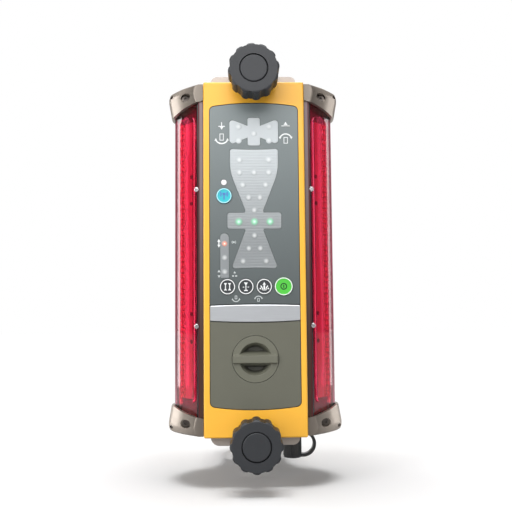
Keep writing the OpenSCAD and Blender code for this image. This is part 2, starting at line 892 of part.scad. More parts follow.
module battery_door() {
  half_h = bay_opening_h / 2 - slip_gap;
  color("dimgray") difference() {
    union() {
      plate(face_inset, rim_t) polygon(bowed_box(face_w, door_low, door_top, -door_crown,
        -bar_sag, face_corner_r, small_corner_r));
      plate(face_inset, plug_back_d - face_inset) polygon(box_outline(bay_w - slip_gap * 2,
        latch_z - half_h, latch_z + half_h, small_corner_r));
    }
    rod([0, latch_z], latch_d / 2 + latch_gap, -over, face_inset + latch_disc_t + latch_gap);
    rod([0, latch_z], latch_shaft_r + latch_gap, -over, plug_back_d + over);
  }
}

module door_seal() {
  half_h = bay_opening_h / 2;
  color("black") difference() {
    plate(face_inset + rim_t, door_seal_t) polygon(box_outline(bay_w + door_seal_w * 2,
      latch_z - half_h - door_seal_w, latch_z + half_h + door_seal_w, door_seal_w));
    plate(0, front_wall) polygon(box_outline(bay_w, latch_z - half_h, latch_z + half_h,
      small_corner_r));
  }
}

module battery_tray() {
  side_x = tray_half_w - tray_side_t;
  color("dimgray") {
    both_sides() {
      translate([side_x, plug_back_d, latch_z - tray_h / 2])
        cube([tray_side_t, tray_back_d + tray_back_t - plug_back_d, tray_h]);
      translate([side_x - tray_block_t, cell_front_d, latch_z - tray_h / 2])
        cube([tray_block_t, tray_back_d - cell_front_d, tray_h]);
    }
    translate([-tray_half_w, tray_back_d, latch_z - tray_h / 2])
      cube([tray_half_w * 2, tray_back_t, tray_h]);
  }
}

module battery_cells() {
  color("steelblue") for (d = cell_rows_d) for (s = [-1, 1])
    translate([0, d, latch_z + s * cell_rows_z]) rotate([0, s * 90, 0]) {
      translate([0, 0, -cell_l / 2]) cylinder(r = cell_d / 2, h = cell_l - cell_nub_h);
      translate([0, 0, cell_l / 2 - cell_nub_h]) cylinder(r = cell_nub_r, h = cell_nub_h);
    }
}

module cell_contacts() {
  end = tray_half_w - tray_side_t - tray_block_t;
  color("silver") both_sides() for (d = cell_rows_d) for (s = [-1, 1])
    translate([cell_l / 2, d, latch_z + s * cell_rows_z]) rotate([0, 90, 0])
      cylinder(r = contact_r, h = end - cell_l / 2);
}

// A disc with a dish on each side of its grip bar, on a shaft through the door
module latch_knob() {
  at = [0, latch_z];
  disc_back_d = face_inset + latch_disc_t;
  color("gray") {
    difference() {
      rod(at, latch_d / 2, face_inset, disc_back_d);
      translate([0, face_inset + dish_depth, latch_z]) rotate([90, 0, 0])
        cylinder(r1 = dish_floor_r, r2 = dish_r, h = dish_depth + seat_gap);
    }
    intersection() {
      translate([-grip_l / 2, 0, latch_z]) rotate([90, 0, 90]) linear_extrude(grip_l)
        polygon([[disc_back_d, -grip_base_h / 2], [disc_back_d, grip_base_h / 2],
          [-grip_proud, grip_front_h / 2], [-grip_proud, -grip_front_h / 2]]);
      rod(at, latch_d / 2 - seat_gap, -grip_proud - over, disc_back_d);
    }
    rod(at, latch_shaft_r, disc_back_d - thin, tongue_front_d);
  }
}

module latch_tongue() {
  color("silver") plate(tongue_front_d, tongue_t) polygon([for (p = box_outline(tongue_half * 2,
    -tongue_w / 2, tongue_w / 2, tongue_corner_r)) p + [0, latch_z]]);
}

// Along a window's front facet, right side: x runs out along it and y runs in through it
module on_facet() {
  translate([frame_x, mid_d - facet_h(frame_x, 0), 0]) rotate([0, 0, facet_angle]) children();
}

module side_frames() {
  color("gray") both_sides() difference() {
    union() {
      translate([body_w / 2, frame_set, -window_h / 2])
        cube([side_frame_t, body_d - frame_set * 2, window_h]);
      front_and_rear() both_ends()
        translate([frame_x - thin, frame_lug_d, window_screw_z - frame_lug[2] / 2])
          cube(frame_lug + [thin, 0, 0]);
    }
    front_and_rear() both_ends() {
      rod([window_screw_x, window_screw_z], window_screw_head_r + fit_gap, 0, window_screw_floor);
      rod([window_screw_x, window_screw_z], window_screw_r + seat_gap, 0,
        window_screw_floor + window_screw_l + over);
    }
  }
}

module window() {
  at = [window_screw_x, window_screw_z];
  difference() {
    union() {
      upright(-window_h / 2, window_h / 2) polygon(window_plan(window_x, 0));
      front_and_rear() on_facet() translate([band_s, thin, 0]) rotate([90, 0, 0])
        linear_extrude(band_t + thin)
          polygon(box_outline(band_w, -band_h / 2, band_h / 2, band_r));
    }
    upright(-window_h, window_h) polygon(window_plan(window_x - over, window_wall));
    front_and_rear() both_ends() {
      rod(at, window_screw_head_r + fit_gap, 0, window_screw_floor);
      rod(at, window_screw_r + fit_gap, 0, window_screw_floor + window_screw_l);
    }
  }
}
module left_window() { color("red") mirror([1, 0, 0]) window(); }
module right_window() { color("red") window(); }

module window_gaskets() {
  half = facet_h(window_x, 0);
  inner = facet_h(window_x, window_wall);
  color("black") both_sides() difference() {
    upright(-window_h / 2, window_h / 2) translate([frame_x, mid_d - half])
      square([gasket_t, half * 2]);
    upright(-window_h, window_h) translate([frame_x - over, mid_d - inner])
      square([gasket_t + over * 2, inner * 2]);
    front_and_rear() both_ends() rod([window_screw_x, window_screw_z],
      window_screw_head_r + fit_gap, 0, frame_lug_d);
  }
}

module sensor_carriers() {
  color("dimgray") both_sides() difference() {
    union() {
      upright(-carrier_end_z, carrier_end_z) polygon(window_plan(frame_x, carrier_inset));
      both_ends() upright(window_h / 2 + guard_seam, carrier_end_z)
        polygon(window_plan(guard_x, carrier_end_inset));
    }
    upright(-window_h / 2 + carrier_wall, window_h / 2 - carrier_wall)
      polygon(window_plan(frame_x - over, carrier_inset + carrier_wall));
    front_and_rear() both_ends() {
      rod([guard_screw_x, guard_screw_z], guard_screw_r + seat_gap, 0,
        guard_bore_floor + guard_screw_l + over);
      translate([frame_x - over, frame_lug_d, window_screw_z - frame_lug[2] / 2 - fit_gap])
        cube(frame_lug + [over + fit_gap, fit_gap, fit_gap * 2]);
    }
  }
}

module sensor_boards() {
  color("white") both_sides() front_and_rear() on_facet()
    translate([sensor_board_s - sensor_board_w / 2, window_wall + sensor_air, -sensor_h / 2])
      cube([sensor_board_w, sensor_board_t, sensor_h]);
}

module photodiodes() {
  count = floor(sensor_h / diode_pitch);
  color("black") both_sides() front_and_rear() on_facet() for (i = [0 : count - 1])
    translate([diode_s - diode[0] / 2, window_wall + sensor_air - diode[1],
      (i - (count - 1) / 2) * diode_pitch - diode[2] / 2])
      cube(diode);
}

module window_screws() {
  at = [window_screw_x, window_screw_z];
  color("silver") both_sides() front_and_rear() both_ends() {
    rod(at, window_screw_head_r, window_screw_floor - window_screw_head_t, window_screw_floor);
    rod(at, window_screw_r, window_screw_floor, window_screw_floor + window_screw_l);
  }
}

// A guard caps the ends of a window and its carrier, and its edge slants down outwards
module guard() {
  far = window_reach + guard_flare * 2;
  shoulder_z = guard_top_z - guard_shoulder_h;
  difference() {
    hull() {
      upright(guard_outer_z - guard_skirt, guard_outer_z) polygon(guard_plan(guard_lip));
      upright(guard_wide_z - guard_wide_h, guard_wide_z) polygon(guard_plan(guard_flare));
      upright(shoulder_z - thin, shoulder_z) polygon(guard_plan(guard_shoulder_out));
      upright(guard_top_z - thin, guard_top_z) polygon(guard_plan(guard_top_out));
    }
    translate([0, body_d + over, 0]) rotate([90, 0, 0]) linear_extrude(body_d + over * 2)
      polygon(concat([[far, 0], [0, 0], [0, guard_inner_z]], guard_edge(),
        [[far, guard_outer_z]]));
    upright(0, window_h / 2 + guard_seam) polygon(window_plan(body_w / 2, -fit_gap));
    translate([body_w / 2, frame_set - fit_gap, 0])
      cube([side_frame_t + fit_gap, body_d - (frame_set - fit_gap) * 2,
        window_h / 2 + guard_seam]);
    upright(0, carrier_end_z + seat_gap) polygon(window_plan(body_w / 2,
      carrier_end_inset - seat_gap));
    front_and_rear() {
      for (s = [-1, 1]) rod([guard_screw_x + s * guard_bore_slot, guard_screw_z], guard_bore_r,
        -over, guard_bore_floor);
      translate([guard_screw_x - guard_bore_slot, -over, guard_screw_z - guard_bore_r])
        cube([guard_bore_slot * 2, guard_bore_floor + over, guard_bore_r * 2]);
      rod([guard_screw_x, guard_screw_z], guard_screw_r + fit_gap, -over, mid_d);
    }
    rod([guard_hole_x, guard_hole_z], guard_hole_r, -over, body_d + over);
  }
}
module upper_left_guard() { color("tan") mirror([1, 0, 0]) guard(); }
module upper_right_guard() { color("tan") guard(); }
module lower_left_guard() { color("tan") mirror([1, 0, 0]) mirror([0, 0, 1]) guard(); }
module lower_right_guard() { color("tan") mirror([0, 0, 1]) guard(); }

module guard_screws() {
  at = [guard_screw_x, guard_screw_z];
  color("silver") both_sides() front_and_rear() both_ends() difference() {
    union() {
      rod(at, guard_screw_head_r, guard_bore_floor - guard_screw_head_t, guard_bore_floor);
      rod(at, guard_screw_r, guard_bore_floor, guard_bore_floor + guard_screw_l);
    }
    translate([at[0], guard_bore_floor - guard_screw_head_t + hex_depth, at[1]])
      rotate([90, 0, 0]) cylinder(r = hex_r, h = hex_depth + over, $fn = 6);
  }
}

// The clamp at the upper end: an end plate on the housing, a boss for the screw, a rear plate
// and a yoke round the mast
module bracket() {
  at = [0, clamp_z];
  half = end_plate_w / 2;
  plate_top = top_z + end_plate_t;
  head_h = bolt_head_r - bolt_r;
  difference() {
    union() {
      plate(end_plate_front_d, plate_back_d - end_plate_front_d) polygon(rounded(
        [[-half, top_z], [half, top_z], [half, plate_top], [-half, plate_top]],
        [0, 0, end_plate_r, end_plate_r]));
      rod(at, boss_outer_r, boss_front_d, plate_back_d);
      plate(body_d, plate_t) polygon(box_outline(plate_w, clamp_z - plate_h / 2,
        clamp_z + plate_h / 2, plate_r));
      translate([-seat_r - yoke_t, plate_back_d - thin, clamp_z - yoke_h / 2])
        cube([(seat_r + yoke_t) * 2, mast_depth - plate_back_d + thin, yoke_h]);
      translate([0, mast_depth, clamp_z - yoke_h / 2])
        cylinder(r = seat_r + yoke_t, h = yoke_h, $fn = 96);
    }
    translate([-seat_r, plate_back_d, clamp_z - yoke_h])
      cube([seat_r * 2, mast_depth - plate_back_d, yoke_h * 2]);
    translate([0, mast_depth, clamp_z - yoke_h])
      cylinder(r = seat_r, h = yoke_h * 2, $fn = 96);
    rod(at, screw_d / 2 + screw_gap, boss_front_d - over, plate_back_d + over);
    rod(at, sleeve_r + screw_gap, sleeve_bore_d, plate_back_d + over);
    bolt_holes();
    both_sides() for (d = bolt_ds) translate([bolt_x, d, plate_top - head_h])
      cylinder(r1 = bolt_r + seat_gap, r2 = bolt_head_r + over + seat_gap, h = head_h + over);
  }
}
module upper_bracket() { color("silver") bracket(); }
module lower_bracket() {
  color("silver") mirror([0, 0, 1]) difference() {
    bracket();
    translate([notch_x, notch_ds[0], top_z - over])
      cube([end_plate_w, notch_ds[1] - notch_ds[0], end_plate_t + over * 2]);
  }
}

module bracket_bolts() {
  head_h = bolt_head_r - bolt_r;
  color("silver") both_ends() both_sides() for (d = bolt_ds)
    translate([bolt_x, d, top_z + end_plate_t]) difference() {
      union() {
        translate([0, 0, -bolt_l]) cylinder(r = bolt_r, h = bolt_l - seat_gap);
        translate([0, 0, -head_h]) cylinder(r1 = bolt_r, r2 = bolt_head_r, h = head_h);
      }
      translate([0, 0, -hex_depth]) cylinder(r = hex_r, h = hex_depth + over, $fn = 6);
    }
}

module clamp_screw() {
  at = [0, clamp_z];
  rod(at, screw_d / 2, knob_front_d + knob_cap_t + over, jaw_front_d + screw_in_jaw);
  rod(at, ring_r, sleeve_bore_d + fit_gap, sleeve_bore_d + fit_gap + ring_t);
}
module upper_screw() { color("silver") clamp_screw(); }
module lower_screw() { color("silver") mirror([0, 0, 1]) clamp_screw(); }

// A lobed grip, hollow from behind, on a hub that runs back to the boss
module knob(first_turn) {
  at = [0, clamp_z];
  grip_back_d = knob_back_d - knob_neck_l;
  grip_depth = knob_depth - knob_neck_l;
  difference() {
    union() {
      difference() {
        intersection() {
          union() {
            rod(at, knob_d / 2 - lobe_depth, knob_front_d, grip_back_d);
            for (i = [0 : knob_lobes - 1]) {
              turn = 360 * i / knob_lobes + first_turn;
              rod(at + (knob_d / 2 - lobe_r) * [cos(turn), sin(turn)], lobe_r, knob_front_d,
                grip_back_d);
            }
          }
          translate([0, grip_back_d, clamp_z]) rotate([90, 0, 0]) rotate_extrude()
            polygon(rounded([[0, 0], [knob_d / 2, 0], [knob_d / 2, grip_depth],
              [0, grip_depth]], [0, knob_edge_r / 2, knob_edge_r, 0]));
        }
        rod(at, knob_cap_r + knob_cap_gap, knob_front_d - over, knob_front_d + knob_cap_t);
        rod(at, knob_hollow_r, grip_back_d - knob_hollow_d, grip_back_d + over);
      }
      rod(at, knob_hub_r, grip_back_d - knob_hollow_d - over, knob_back_d);
    }
    rod(at, screw_d / 2 + seat_gap, knob_front_d + knob_cap_t + over - seat_gap,
      knob_back_d + over);
  }
}
module upper_knob() { color("black") knob(upper_knob_turn); }
module lower_knob() { color("black") mirror([0, 0, 1]) knob(0); }

// A cap with a low rim and a shallow dish
module knob_cap() {
  translate([0, knob_front_d + knob_cap_t, clamp_z]) rotate([90, 0, 0]) rotate_extrude()
    polygon([[0, 0], [knob_cap_r, 0], [knob_cap_r, knob_cap_t - knob_cap_edge],
      [knob_cap_r - knob_cap_edge, knob_cap_t], [knob_cap_r - knob_cap_rim, knob_cap_t],
      [0, knob_cap_t - knob_cap_edge]]);
}
module upper_knob_cap() { color("dimgray") knob_cap(); }
module lower_knob_cap() { color("dimgray") mirror([0, 0, 1]) knob_cap(); }

module nut_sleeve() {
  at = [0, clamp_z];
  difference() {
    rod(at, sleeve_r, jaw_front_d - sleeve_l, jaw_front_d + sleeve_in_jaw);
    rod(at, screw_d / 2 + screw_gap, jaw_front_d - sleeve_l - over,
      jaw_front_d + sleeve_in_jaw + over);
  }
}
module upper_nut() { color("goldenrod") nut_sleeve(); }
module lower_nut() { color("goldenrod") mirror([0, 0, 1]) nut_sleeve(); }

module jaw() {
  half = jaw_w / 2;
  tip_d = jaw_apex_d + half / tan(v_half);
  difference() {
    upright(clamp_z - jaw_h / 2, clamp_z + jaw_h / 2) polygon([[-half, jaw_front_d],
      [half, jaw_front_d], [half, tip_d], [0, jaw_apex_d], [-half, tip_d]]);
    rod([0, clamp_z], sleeve_r + seat_gap, jaw_front_d - over,
      jaw_front_d + sleeve_in_jaw + seat_gap);
  }
}
module upper_jaw() { color("silver") jaw(); }
module lower_jaw() { color("silver") mirror([0, 0, 1]) jaw(); }

// The connector and its cap are drawn downwards from the housing's lower face
module at_connector() {
  translate([connector_at[0], connector_at[1], -top_z]) mirror([0, 0, 1]) children();
}

module connector() {
  inner = top_z - cavity_half_h;
  color("silver") at_connector() difference() {
    union() {
      cylinder(r = flange_r, h = flange_t);
      cylinder(r = connector_d / 2, h = shell_l);
      translate([0, 0, -inner - nut_t]) cylinder(r = connector_hole_r - fit_gap,
        h = inner + nut_t + thin);
      translate([0, 0, -inner - nut_t]) cylinder(r = nut_r, h = nut_t, $fn = 6);
    }
    difference() {
      translate([0, 0, shell_l - shell_bore_l]) cylinder(r = shell_bore_r, h = shell_bore_l + over);
      for (i = [0 : pin_count - 1]) rotate(360 * i / pin_count) translate([pin_ring_r, 0, 0])
        cylinder(r = pin_r, h = shell_l - shell_bore_l + pin_l);
    }
  }
}

module dust_cap() {
  r = dust_cap_d / 2;
  color("black") at_connector() {
    difference() {
      union() {
        translate([0, 0, cap_top]) cylinder(r = r - cap_rib_r / 2, h = cap_low - cap_top);
        for (i = [0 : cap_ribs - 1]) rotate(360 * i / cap_ribs)
          translate([r - cap_rib_r, 0, cap_top + cap_rib_r * 2])
            cylinder(r = cap_rib_r, h = cap_low - cap_top - cap_rib_r * 4);
      }
      translate([0, 0, cap_top - over]) cylinder(r = cap_bore_r,
        h = cap_low - cap_floor - cap_top + over);
    }
    translate([0, -strap_w / 2, cap_low - cap_floor]) cube([strap_x, strap_w, strap_t]);
  }
}

// A collar round the connector and a loop that ends at the cap's tab
module cap_strap() {
  collar_z = flange_t + collar_gap;
  bend = (cap_low - cap_floor + strap_t - collar_z) / 2;
  color("black") at_connector() {
    difference() {
      union() {
        translate([0, 0, collar_z]) cylinder(r = flange_r, h = collar_t);
        translate([0, -strap_w / 2, collar_z]) cube([strap_x, strap_w, strap_t]);
      }
      translate([0, 0, collar_z - over]) cylinder(r = connector_d / 2 + seat_gap,
        h = collar_t + over * 2);
    }
    translate([strap_x, strap_w / 2, collar_z + bend]) rotate([90, 0, 0]) rotate([0, 0, -90])
      rotate_extrude(angle = 180) translate([bend - strap_t, 0]) square([strap_t, strap_w]);
  }
}

place() front_housing();
place() rear_housing();
place() housing_seal();
place() housing_screws();
place() keypad_panel();
place() tilt_lens();
place() grade_lens();
place() offset_lens();
place() indicator_lens();
place() name_bar();
place() level_lamps();
place() grade_lamps();
place() offset_lamps();
place() tilt_lamps();
place() main_board();
place() board_parts();
place() board_screws();
place() wireless_key();
place() first_key();
place() second_key();
place() third_key();
place() power_key();
place() battery_bay();
place() bay_contacts();
place() battery_door();
place() door_seal();
place() battery_tray();
place() battery_cells();
place() cell_contacts();
place() latch_knob();
place() latch_tongue();
place() side_frames();
place() left_window();
place() right_window();
place() window_gaskets();
place() sensor_carriers();
place() sensor_boards();
place() photodiodes();
place() window_screws();
place() upper_left_guard();
place() upper_right_guard();
place() lower_left_guard();
place() lower_right_guard();
place() guard_screws();
place() upper_bracket();
place() lower_bracket();
place() bracket_bolts();
place() upper_screw();
place() lower_screw();
place() upper_knob();
place() lower_knob();
place() upper_knob_cap();
place() lower_knob_cap();
place() upper_nut();
place() lower_nut();
place() upper_jaw();
place() lower_jaw();
place() connector();
place() dust_cap();
place() cap_strap();
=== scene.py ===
"""Looks of a laser receiver for a mast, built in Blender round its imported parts."""

import json
import math
from itertools import product

import bmesh
import bpy
from bpy.props import FloatProperty, FloatVectorProperty, PointerProperty
from bpy.types import Operator, Panel, PropertyGroup
from mathutils import Matrix, Vector

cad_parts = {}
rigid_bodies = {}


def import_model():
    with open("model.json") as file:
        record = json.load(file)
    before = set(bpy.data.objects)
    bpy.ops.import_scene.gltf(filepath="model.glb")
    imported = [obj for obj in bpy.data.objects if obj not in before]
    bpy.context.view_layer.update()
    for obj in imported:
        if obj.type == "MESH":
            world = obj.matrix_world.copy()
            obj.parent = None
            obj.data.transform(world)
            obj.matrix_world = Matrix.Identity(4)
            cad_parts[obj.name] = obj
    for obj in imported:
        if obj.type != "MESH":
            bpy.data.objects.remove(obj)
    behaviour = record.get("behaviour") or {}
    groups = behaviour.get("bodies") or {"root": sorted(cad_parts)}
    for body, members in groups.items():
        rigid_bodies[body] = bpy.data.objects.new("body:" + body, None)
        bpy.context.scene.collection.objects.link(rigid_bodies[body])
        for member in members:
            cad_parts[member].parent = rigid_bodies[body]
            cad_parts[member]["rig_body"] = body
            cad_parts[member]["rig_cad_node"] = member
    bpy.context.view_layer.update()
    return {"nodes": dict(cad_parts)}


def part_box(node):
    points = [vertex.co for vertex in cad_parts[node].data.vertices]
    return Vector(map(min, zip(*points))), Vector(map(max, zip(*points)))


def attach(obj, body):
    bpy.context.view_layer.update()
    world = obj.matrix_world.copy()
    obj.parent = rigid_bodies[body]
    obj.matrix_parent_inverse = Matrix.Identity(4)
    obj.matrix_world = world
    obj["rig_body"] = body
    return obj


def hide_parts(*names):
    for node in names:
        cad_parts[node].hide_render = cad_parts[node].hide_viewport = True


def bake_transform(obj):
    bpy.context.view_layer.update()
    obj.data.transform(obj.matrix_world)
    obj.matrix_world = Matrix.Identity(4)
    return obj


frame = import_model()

bl_info = {
    "name": "Laser receiver",
    "version": (1, 0, 0),
    "blender": (4, 5, 0),
    "location": "View3D > Sidebar > Receiver",
    "description": "Dresses the packed parts of a laser receiver and sets its stage",
    "category": "Object",
}

MM = 0.001
# Distance from the front face back to the mast's axis, in millimetres
MAST_DEPTH = 136.3675
# Turns a flat primitive to face the front
FACING = (math.pi / 2, 0, 0)
# Edges sharper than this are rounded, and edges up to the second angle are shaded smooth
ROUND_FROM, SMOOTH_TO = math.radians(32), math.radians(40)
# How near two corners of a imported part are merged, and how flat its faces are joined
MERGE_WITHIN, FLAT_WITHIN = 0.002 * MM, math.radians(0.4)
# How close to a plane a face or an edge counts as lying in it
NEAR = 0.01 * MM


def tone(red, green, blue):
    """A colour given in screen values from 0 to 255, as the linear colour that shaders use."""
    shares = [value / 255 for value in (red, green, blue)]
    return (*(share / 12.92 if share <= 0.04045 else ((share + 0.055) / 1.055) ** 2.4
              for share in shares), 1.0)


def spot(x, depth, z):
    """A point in millimetres across, back from the front face and up, in the part's frame."""
    return Vector((x, depth - MAST_DEPTH, z)) * MM


def size_of(name, description, millimetres):
    return FloatProperty(
        name=name, description=description, default=millimetres * MM, unit="LENGTH", precision=5
    )


def angle_of(name, description, degrees):
    return FloatProperty(
        name=name, description=description, default=math.radians(degrees), subtype="ANGLE"
    )


def colour_of(name, description, red, green, blue):
    return FloatVectorProperty(
        name=name, description=description, default=tone(red, green, blue), size=4, min=0, max=1,
        subtype="COLOR",
    )


class ReceiverSizes(PropertyGroup):
    """Sizes of the details that are modelled here."""

    shell_edge: size_of("Shell edge", "Rounding of the housing shells' edges", 0.6)
    trim_edge: size_of("Trim edge", "Rounding of the panel, bar, door and frames", 0.25)
    cast_edge: size_of("Cast edge", "Rounding of the guards, brackets and jaws", 0.6)
    window_edge: size_of("Window edge", "Rounding of the windows' raised bands", 0.9)
    knob_edge: size_of("Knob edge", "Rounding of the knobs' lobes and caps", 0.35)
    lamp_radius: size_of("Lamp radius", "Radius of a grade or tilt lamp's moulded dome", 3.0)
    level_radius: size_of("Level lamp radius", "Radius of a level lamp's moulded dome", 4.3)
    offset_radius: size_of("Offset lamp radius", "Radius of an offset lamp's moulded dome", 3.2)
    lamp_height: size_of("Lamp height", "Height of a dome from its foot in the display", 0.55)
    lamp_rise: size_of("Lamp rise", "How far a dome stands out of the display's ribs", 0.26)
    ink_height: size_of("Ink height", "Thickness of the printed marks", 0.1)
    ring_width: size_of("Ring width", "Width of the printed rings on the keys", 0.75)


class ReceiverColours(PropertyGroup):
    """Colours of the finishes."""

    housing: colour_of("Housing", "Yellow of the shells", 248, 184, 58)
    panel: colour_of("Panel", "Grey of the keypad panel", 118, 127, 128)
    lens: colour_of("Lens", "Milky tone of the display lenses", 204, 210, 213)
    door: colour_of("Door", "Olive grey of the battery door", 98, 98, 86)
    window: colour_of("Window", "Red of the side windows", 252, 86, 128)
    guard: colour_of("Guard", "Champagne metal of the corner guards", 148, 138, 128)
    frame: colour_of("Frame", "Grey of the side frames", 122, 108, 112)
    knob: colour_of("Knob", "Black of the knobs", 40, 42, 46)
    trim: colour_of("Trim", "Silver of the name bar", 214, 217, 221)
    blue_key: colour_of("Blue key", "Blue of the wireless key", 54, 190, 202)
    dark_key: colour_of("Dark key", "Dark grey of the function keys", 52, 55, 58)
    green_key: colour_of("Green key", "Green of the power key", 82, 196, 66)
    ink: colour_of("Ink", "White of the printed marks", 236, 238, 238)
    level_light: colour_of("Level light", "Green of the lit level lamps", 58, 200, 120)
    offset_light: colour_of("Offset light", "Red of the lit offset lamp", 240, 120, 90)


class ReceiverStage(PropertyGroup):
    """Place of the camera and the floor."""

    lens: FloatProperty(name="Lens", description="Focal length on a 36 mm sensor", default=48.96,
                        unit="CAMERA")
    distance: size_of("Distance", "From the camera back to the receiver's front", 582.5)
    side: size_of("Side", "Camera's place across", -9.63)
    height: size_of("Height", "Camera's place up from mid-body", -45.99)
    pitch: angle_of("Pitch", "How far the camera looks up", 4.546)
    yaw: angle_of("Yaw", "How far the camera looks to the right", 1.055)
    roll: angle_of("Roll", "How far the camera is rolled", -0.467)
    floor: size_of("Floor", "Height of the floor", -190.5)


# Selecting and editing

def only(*objects):
    """Selects these objects alone and makes the first one active."""
    bpy.ops.object.select_all(action="DESELECT")
    for each in objects:
        each.select_set(True)
    bpy.context.view_layer.objects.active = objects[0]


class Editing:
    """Edit mode on one object, with nothing or everything selected at the start."""

    def __init__(self, piece, mode="FACE", action="DESELECT"):
        self.piece, self.mode, self.action = piece, mode, action

    def __enter__(self):
        only(self.piece)
        bpy.ops.object.mode_set(mode="EDIT")
        bpy.ops.mesh.select_mode(type=self.mode)
        bpy.ops.mesh.select_all(action=self.action)
        return self

    def pick(self, test):
        """Selects the faces, edges or vertices that pass the test, and counts them."""
        mesh = bmesh.from_edit_mesh(self.piece.data)
        kinds = {"FACE": mesh.faces, "EDGE": mesh.edges, "VERT": mesh.verts}
        bpy.ops.mesh.select_all(action="DESELECT")
        chosen = [element for element in kinds[self.mode] if test(element)]
        for element in chosen:
            element.select_set(True)
        mesh.select_flush_mode()
        bmesh.update_edit_mesh(self.piece.data)
        return len(chosen)

    def __exit__(self, *problem):
        bpy.ops.object.mode_set(mode="OBJECT")


def start(add, name, **settings):
    """Adds a primitive with its place in its mesh."""
    bpy.ops.object.select_all(action="DESELECT")
    add(**settings)
    piece = bpy.context.object
    piece.name = piece.data.name = name
    bpy.ops.object.transform_apply(location=True, rotation=True, scale=True)
    return piece


def modify(piece, kind, **settings):
    """Adds a modifier and applies it."""
    only(piece)
    made = piece.modifiers.new(kind.title(), kind)
    for key, value in settings.items():
        setattr(made, key, value)
    bpy.ops.object.modifier_apply(modifier=made.name)


def soften(piece, width, segments=2):
    """Rounds a piece's edges and evens out its shading."""
    if width:
        modify(piece, "BEVEL", width=width, segments=segments, limit_method="ANGLE",
               angle_limit=ROUND_FROM, use_clamp_overlap=True, miter_outer="MITER_ARC")
    only(piece)
    bpy.ops.object.shade_smooth_by_angle(angle=SMOOTH_TO)
    modify(piece, "WEIGHTED_NORMAL", keep_sharp=True)


def face_outwards(piece):
    with Editing(piece, "VERT", "SELECT"):
        bpy.ops.mesh.normals_make_consistent(inside=False)


def copied(piece, move):
    """A copy with its own mesh, moved or mirrored by a matrix."""
    made = piece.copy()
    made.data = piece.data.copy()
    bpy.context.scene.collection.objects.link(made)
    made.data.transform(move)
    if move.is_negative:
        made.data.flip_normals()
    return made


def joined(name, pieces):
    only(*pieces)
    if len(pieces) > 1:
        bpy.ops.object.join()
    made = bpy.context.object
    made.name = made.data.name = name
    return made


def dress(node, width, segments=2):
    """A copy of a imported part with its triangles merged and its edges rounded."""
    source = frame["nodes"][node]
    piece = source.copy()
    piece.data = source.data.copy()
    piece.parent = None
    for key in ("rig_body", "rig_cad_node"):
        del piece[key]
    piece.name = piece.data.name = node + "_dressed"
    bpy.context.scene.collection.objects.link(piece)
    with Editing(piece, "VERT", "SELECT"):
        bpy.ops.mesh.customdata_custom_splitnormals_clear()
        bpy.ops.mesh.remove_doubles(threshold=MERGE_WITHIN)
        bpy.ops.mesh.dissolve_limited(angle_limit=FLAT_WITHIN)
    soften(piece, width, segments)
    return piece


def finish(piece, material, body, slot, *nodes):
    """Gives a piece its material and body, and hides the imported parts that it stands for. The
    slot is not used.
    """
    piece.data.materials.clear()
    piece.data.materials.append(MATERIALS[material])
    if body:
        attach(piece, body)
    if nodes:
        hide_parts(*nodes)
    return piece


def replace(node, width, material, body="housing", slot=None, segments=2):
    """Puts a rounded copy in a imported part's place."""
    return finish(dress(node, width, segments), material, body, slot or material, node)


def coat(node, material):
    """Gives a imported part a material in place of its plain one."""
    part = frame["nodes"][node]
    if not part.material_slots:
        part.data.materials.append(MATERIALS[material])
    for each in part.material_slots:
        each.material = MATERIALS[material]


# Materials

MATERIALS = {}


class Wire:
    """A value in a material's nodes, with arithmetic that adds Math nodes."""

    def __init__(self, maker, socket):
        self.maker, self.socket = maker, socket

    def _math(self, operation, first, second):
        return self.maker.node("ShaderNodeMath", {"operation": operation}, {0: first, 1: second})

    def __add__(self, other):
        return self._math("ADD", self, other)

    __radd__ = __add__

    def __sub__(self, other):
        return self._math("SUBTRACT", self, other)

    def __rsub__(self, other):
        return self._math("SUBTRACT", other, self)

    def __mul__(self, other):
        return self._math("MULTIPLY", self, other)

    def __gt__(self, other):
        return self._math("GREATER_THAN", self, other)

    def __lt__(self, other):
        return self._math("LESS_THAN", self, other)

    def __abs__(self):
        return self._math("ABSOLUTE", self, 0)

    def most(self, other):
        return self._math("MAXIMUM", self, other)


class Nodes:
    """A tree of shader nodes, for a material or the world."""

    def __init__(self, tree):
        self.tree = tree

    def node(self, kind, settings=None, inputs=None, output=0):
        """Adds a node with its settings, then the values or links of its sockets."""
        made = self.tree.nodes.new(kind)
        for key, value in (settings or {}).items():
            if key == "stops":
                ramp = made.color_ramp.elements
                for place, (position, colour) in enumerate(value):
                    stop = ramp[place] if place < 2 else ramp.new(position)
                    stop.position, stop.color = position, colour
            else:
                setattr(made, key, value)
        for key, value in (inputs or {}).items():
            if isinstance(value, Wire):
                self.tree.links.new(value.socket, made.inputs[key])
            else:
                made.inputs[key].default_value = value
        return Wire(self, made.outputs[output])

    def part(self, vector, axis):
        """One axis of a vector."""
        return self.node("ShaderNodeSeparateXYZ", None, {"Vector": vector}, axis)

    def ease(self, value, low, high):
        """A smooth step from 0 at low to 1 at high."""
        return self.node("ShaderNodeMapRange", {"interpolation_type": "SMOOTHSTEP"},
                         {"Value": value, "From Min": low, "From Max": high})

    def seen(self):
        """1 for what the camera sees, what metal mirrors and what is seen through glass."""
        kinds = ("Is Camera Ray", "Is Glossy Ray", "Is Transmission Ray")
        return (self.node("ShaderNodeLightPath", output=kind) for kind in kinds)


